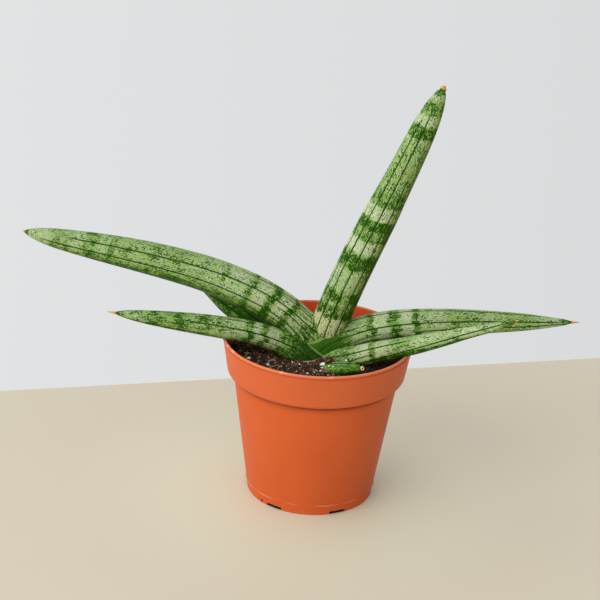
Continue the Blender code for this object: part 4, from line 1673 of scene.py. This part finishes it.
@dataclass(frozen=True)
class SheathScrap:
    """Papery remains of an old leaf sheath: a thin strip, torn along its edges."""

    name: str
    path: tuple[Point, ...]
    width: float
    lean: float  # degrees, 0 lying flat and 90 standing on edge
    tones: Flat = (0.6, 0.6)  # at its two ends, from green-brown at 0 to papery white at 1
    thickness: float = 0.3
    sides: int = 14
    steps: int = 20  # rings between two points of the path
    evened: tuple[int, int] = (14, 3)  # how often the path and the torn edges are evened out
    torn: Flat = (0.5, 1.3)  # least and greatest share of the width along the edges
    mottled: float = 0.25
    sharp: float = 60.0

    def build(self) -> Object:
        """Builds the strip and dresses it.

        Returns:
            The piece.
        """
        pulls = np.array(self.path)
        shares = np.linspace(0.0, len(pulls) - 1.0, self.steps * (len(pulls) - 1) + 1)
        line = np.stack([np.interp(shares, range(len(pulls)), pulls[:, k]) for k in range(3)], axis=1)
        draw = np.random.default_rng(sum(map(ord, self.name)))
        torn = draw.uniform(*self.torn, len(line))
        smooth_out(line, self.evened[0])
        smooth_out(torn, self.evened[1])
        along = np.gradient(line, axis=0)
        along /= np.linalg.norm(along, axis=1, keepdims=True)
        side = np.cross(along, (0.0, 0.0, 1.0))
        side /= np.linalg.norm(side, axis=1, keepdims=True)
        lean = math.radians(self.lean)
        wide = side * math.cos(lean) + np.cross(side, along) * math.sin(lean)
        thick = np.cross(wide, along)
        turns = np.linspace(0.0, TURN, self.sides, endpoint=False)
        closing = np.sqrt(1.0 - np.linspace(-0.98, 0.98, len(line)) ** 6)
        reach = (self.width / 2.0 * torn * closing)[:, None, None] * np.cos(turns)[None, :, None]
        depth = (self.thickness / 2.0 * closing)[:, None, None] * np.sin(turns)[None, :, None]
        rings = line[:, None, :] + wide[:, None, :] * reach + thick[:, None, :] * depth
        points = np.vstack([line[0], rings.reshape(-1, 3), line[-1]])
        made = mesh_object(self.name, points, tube_faces(len(line), self.sides), self.sharp)
        shade = np.linspace(*self.tones, len(line)) + draw.uniform(-self.mottled, self.mottled, len(line))
        tone = np.concatenate([self.tones[:1], np.repeat(shade, self.sides), self.tones[1:]])
        set_attribute(made.data, "tone", tone)
        made.data.materials.append(DRY_SHEATH.material())
        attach(made, "root")
        return made


SCRAPS = (
    SheathScrap(
        "curled_husk",
        (
            (-26.2, -16.9, 81.0), (-26.7, -16.3, 82.3), (-25.5, -15.6, 83.6), (-23.9, -15.3, 84.2),
            (-22.3, -15.2, 83.3),
        ),
        1.9, 50.0, (1.1, 0.5),
    ),
    SheathScrap(
        "husk_edge",
        (
            (-26.2, -17.0, 80.9), (-25.0, -18.4, 81.2), (-23.6, -18.1, 81.3), (-21.9, -16.9, 81.4),
            (-20.7, -15.4, 81.6),
        ),
        1.5, 55.0, (1.1, 0.6),
    ),
    SheathScrap(
        "husk_flake",
        ((-23.2, -14.3, 81.2), (-22.2, -14.4, 82.0), (-21.3, -13.6, 81.6)),
        1.5, 40.0, (0.5, 0.8),
    ),
    SheathScrap(
        "fibre_sliver",
        ((-13.7, -13.2, 83.1), (-13.1, -13.6, 82.2), (-12.5, -14.0, 81.2)),
        1.2, 10.0, (1.0, 0.8),
    ),
    SheathScrap(
        "torn_sheath_edge",
        (
            (-7.9, -12.2, 82.3), (-5.8, -11.9, 82.5), (-3.6, -12.0, 82.8), (-1.9, -11.6, 83.1),
            (0.3, -10.4, 83.5), (2.4, -9.2, 84.1),
        ),
        1.1, 60.0, (1.1, 0.1),
    ),
    SheathScrap(
        "stub_sheath_edge",
        (
            (8.3, -18.4, 85.9), (11.2, -19.6, 86.7), (13.1, -20.1, 87.2), (14.9, -20.6, 87.6),
            (17.6, -21.4, 87.8),
        ),
        0.9, 35.0, (1.1, 0.9),
    ),
)


@dataclass(frozen=True)
class DriedTip:
    """Dried end of the stub: a small pale ring with a brown dimple, where a leaf tip has healed."""

    leaf: Leaf
    section: Table = (  # radius and height of each point
        (0.0, 0.0), (1.05, 0.0), (1.3, 0.25), (1.38, 0.6), (1.25, 0.95), (0.95, 1.1), (0.65, 1.0),
        (0.42, 0.6), (0.2, 0.45), (0.0, 0.42),
    )
    facing: Point = (0.74, -0.6, 0.3)
    sink: float = 0.7  # how far it reaches back over the leaf's end
    dimple: float = 0.6
    tones: Flat = (0.05, 1.0)  # in the dimple and outside it
    sides: int = 56
    sharp: float = 50.0

    def build(self) -> Object:
        """Builds the ring at the leaf's end and dresses it.

        Returns:
            The piece.
        """
        points, faces = turned(self.section, self.sides)
        tone = np.where(np.hypot(points[:, 0], points[:, 1]) < self.dimple, *self.tones)
        fine = self.leaf.curve()[0]
        ahead = Vector(self.facing).normalized()
        spin = np.array(Vector((0.0, 0.0, 1.0)).rotation_difference(ahead).to_matrix())
        placed = points @ spin.T + (fine[-1] - np.array(ahead) * self.sink)
        made = mesh_object("short_leaf_tip", placed, faces, self.sharp)
        set_attribute(made.data, "tone", tone)
        made.data.materials.append(DRIED_TIP.material())
        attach(made, "root")
        return made


# Studio


@dataclass(frozen=True)
class Studio:
    """Table, soft window-like light and camera."""

    eye: Point = (0.0, -912.0, 495.2)
    pan: float = -0.697
    tilt: float = 22.681
    roll: float = 3.164
    lens: float = 108.0
    sensor: float = 36.0
    table_back: tuple[Flat, Flat] = ((-196.4, 98.1), (191.4, 204.5))  # two points on the back edge
    table_reach: float = 1400.0
    table_thickness: float = 28.0
    table_edge: float = 2.0  # radius of its rounded edges
    wall: str = "#FDFEFF"
    wall_light: Point = (0.74, -0.15, -0.64)  # in the middle, and how it falls off to the right
    front_light: float = 0.13  # how much brighter the room is on the viewer's side
    key_place: Point = (-1050.0, -1250.0, 1100.0)
    key_target: Point = (0.0, 0.0, 80.0)
    key_size: float = 1600.0
    key_power: float = 11.6
    key_tint: str = "#FFFDF8"

    def build_table(self) -> None:
        """Builds the table top, whose back edge stands at a slant to the view."""
        left, right = (np.array(point) for point in self.table_back)
        run = (right - left) / np.linalg.norm(right - left)
        away = np.array([-run[1], run[0]])
        middle = (left + right) / 2
        outline = [
            middle + run * self.table_reach,
            middle - run * self.table_reach,
            middle - run * self.table_reach - away * 2.0 * self.table_reach,
            middle + run * self.table_reach - away * 2.0 * self.table_reach,
        ]
        corners = np.array([[*spot, z] for z in (-self.table_thickness, 0.0) for spot in outline])
        table = mesh_object("table_top", corners, BOX_FACES)
        bevel = table.modifiers.new("Bevel", "BEVEL")
        bevel.width = self.table_edge * MM
        bevel.segments = 3
        table.data.materials.append(PaintedBoard().material())

    def build_light(self) -> None:
        """Sets the light of a pale room, brighter on the left, and one large soft light at the upper left."""
        world = bpy.data.worlds.new("pale_room")
        bpy.context.scene.world = world
        world.use_nodes = True
        tree = world.node_tree
        background = tree.nodes["Background"]
        toward = add_node(tree, "ShaderNodeTexCoord").outputs["Generated"]
        right, away, _ = add_node(tree, "ShaderNodeSeparateXYZ", {0: toward}).outputs
        brighter = {0: away, 1: 0.0, 2: -1.0, 4: self.front_light}
        front = add_node(tree, "ShaderNodeMapRange", brighter).outputs[0]
        squared = add_node(tree, "ShaderNodeMath", {0: right, 1: right}, operation="MULTIPLY").outputs[0]
        middle, slope, bend = self.wall_light
        curve = {0: squared, 1: bend, 2: slope}
        falloff = add_node(tree, "ShaderNodeMath", curve, operation="MULTIPLY_ADD").outputs[0]
        sideways = {0: falloff, 1: right, 2: middle}
        level = add_node(tree, "ShaderNodeMath", sideways, operation="MULTIPLY_ADD").outputs[0]
        strength = add_node(tree, "ShaderNodeMath", {0: level, 1: front}, operation="ADD").outputs[0]
        fill_inputs(tree, background, {"Color": linear(self.wall), "Strength": strength})
        key = bpy.data.lights.new("window_light", "AREA")
        key.shape = "SQUARE"
        key.size = self.key_size * MM
        key.energy = self.key_power
        key.color = linear(self.key_tint)[:3]
        lamp = bpy.data.objects.new("window_light", key)
        lamp.location = Vector(self.key_place) * MM
        ahead = Vector(self.key_target) * MM - lamp.location
        lamp.rotation_euler = ahead.to_track_quat("-Z", "Y").to_euler()
        bpy.context.scene.collection.objects.link(lamp)

    def build_camera(self) -> None:
        """Sets the camera at the viewing angle, with its slight roll."""
        pan, tilt, roll = (math.radians(angle) for angle in (self.pan, self.tilt, self.roll))
        ahead = Vector((math.sin(pan) * math.cos(tilt), math.cos(pan) * math.cos(tilt), -math.sin(tilt)))
        level = ahead.cross(Vector((0.0, 0.0, 1.0))).normalized()
        above = level.cross(ahead)
        right = level * math.cos(roll) + above * math.sin(roll)
        up = above * math.cos(roll) - level * math.sin(roll)
        lens = bpy.data.cameras.new("camera")
        lens.lens = self.lens
        lens.sensor_width = self.sensor
        lens.clip_start = 0.05
        camera = bpy.data.objects.new("camera", lens)
        facing = Matrix((right, up, -ahead)).transposed().to_4x4()
        camera.matrix_world = Matrix.Translation(Vector(self.eye) * MM) @ facing
        bpy.context.scene.collection.objects.link(camera)
        bpy.context.scene.camera = camera
        bpy.context.scene.view_settings.view_transform = "Standard"


def main() -> None:
    """Builds the plant, its pot and the studio, and reports each piece."""
    logging.basicConfig(level=logging.INFO, format="%(name)s: %(message)s")
    pot = NurseryPot()
    LOG.info("built %s", pot.build().name)
    cutters: list[Object] = []
    for i, leaf in enumerate((*LEAVES, SHORT_LEAF)):
        made = leaf.build(cutters)
        LOG.info("built %s, %d faces", made.name, len(made.data.polygons))
        cutters.append(leaf.grown(i))
    bed = SoilBed(pot)
    LOG.info("built %s", bed.build(cutters).name)
    mix = LooseMix(bed, [bvh_of(cutter) for cutter in cutters], PLACED)
    for grain in Grain:
        LOG.info("built %s", mix.build(grain).name)
    for cutter in cutters:
        bpy.data.objects.remove(cutter)
    for scrap in SCRAPS:
        LOG.info("built %s", scrap.build().name)
    LOG.info("built %s", DriedTip(SHORT_LEAF).build().name)
    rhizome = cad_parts["rhizome"]
    rhizome.data.materials.clear()
    rhizome.data.materials.append(RHIZOME_SKIN.material())
    studio = Studio()
    studio.build_table()
    studio.build_light()
    studio.build_camera()


if __name__ == "__main__":
    main()
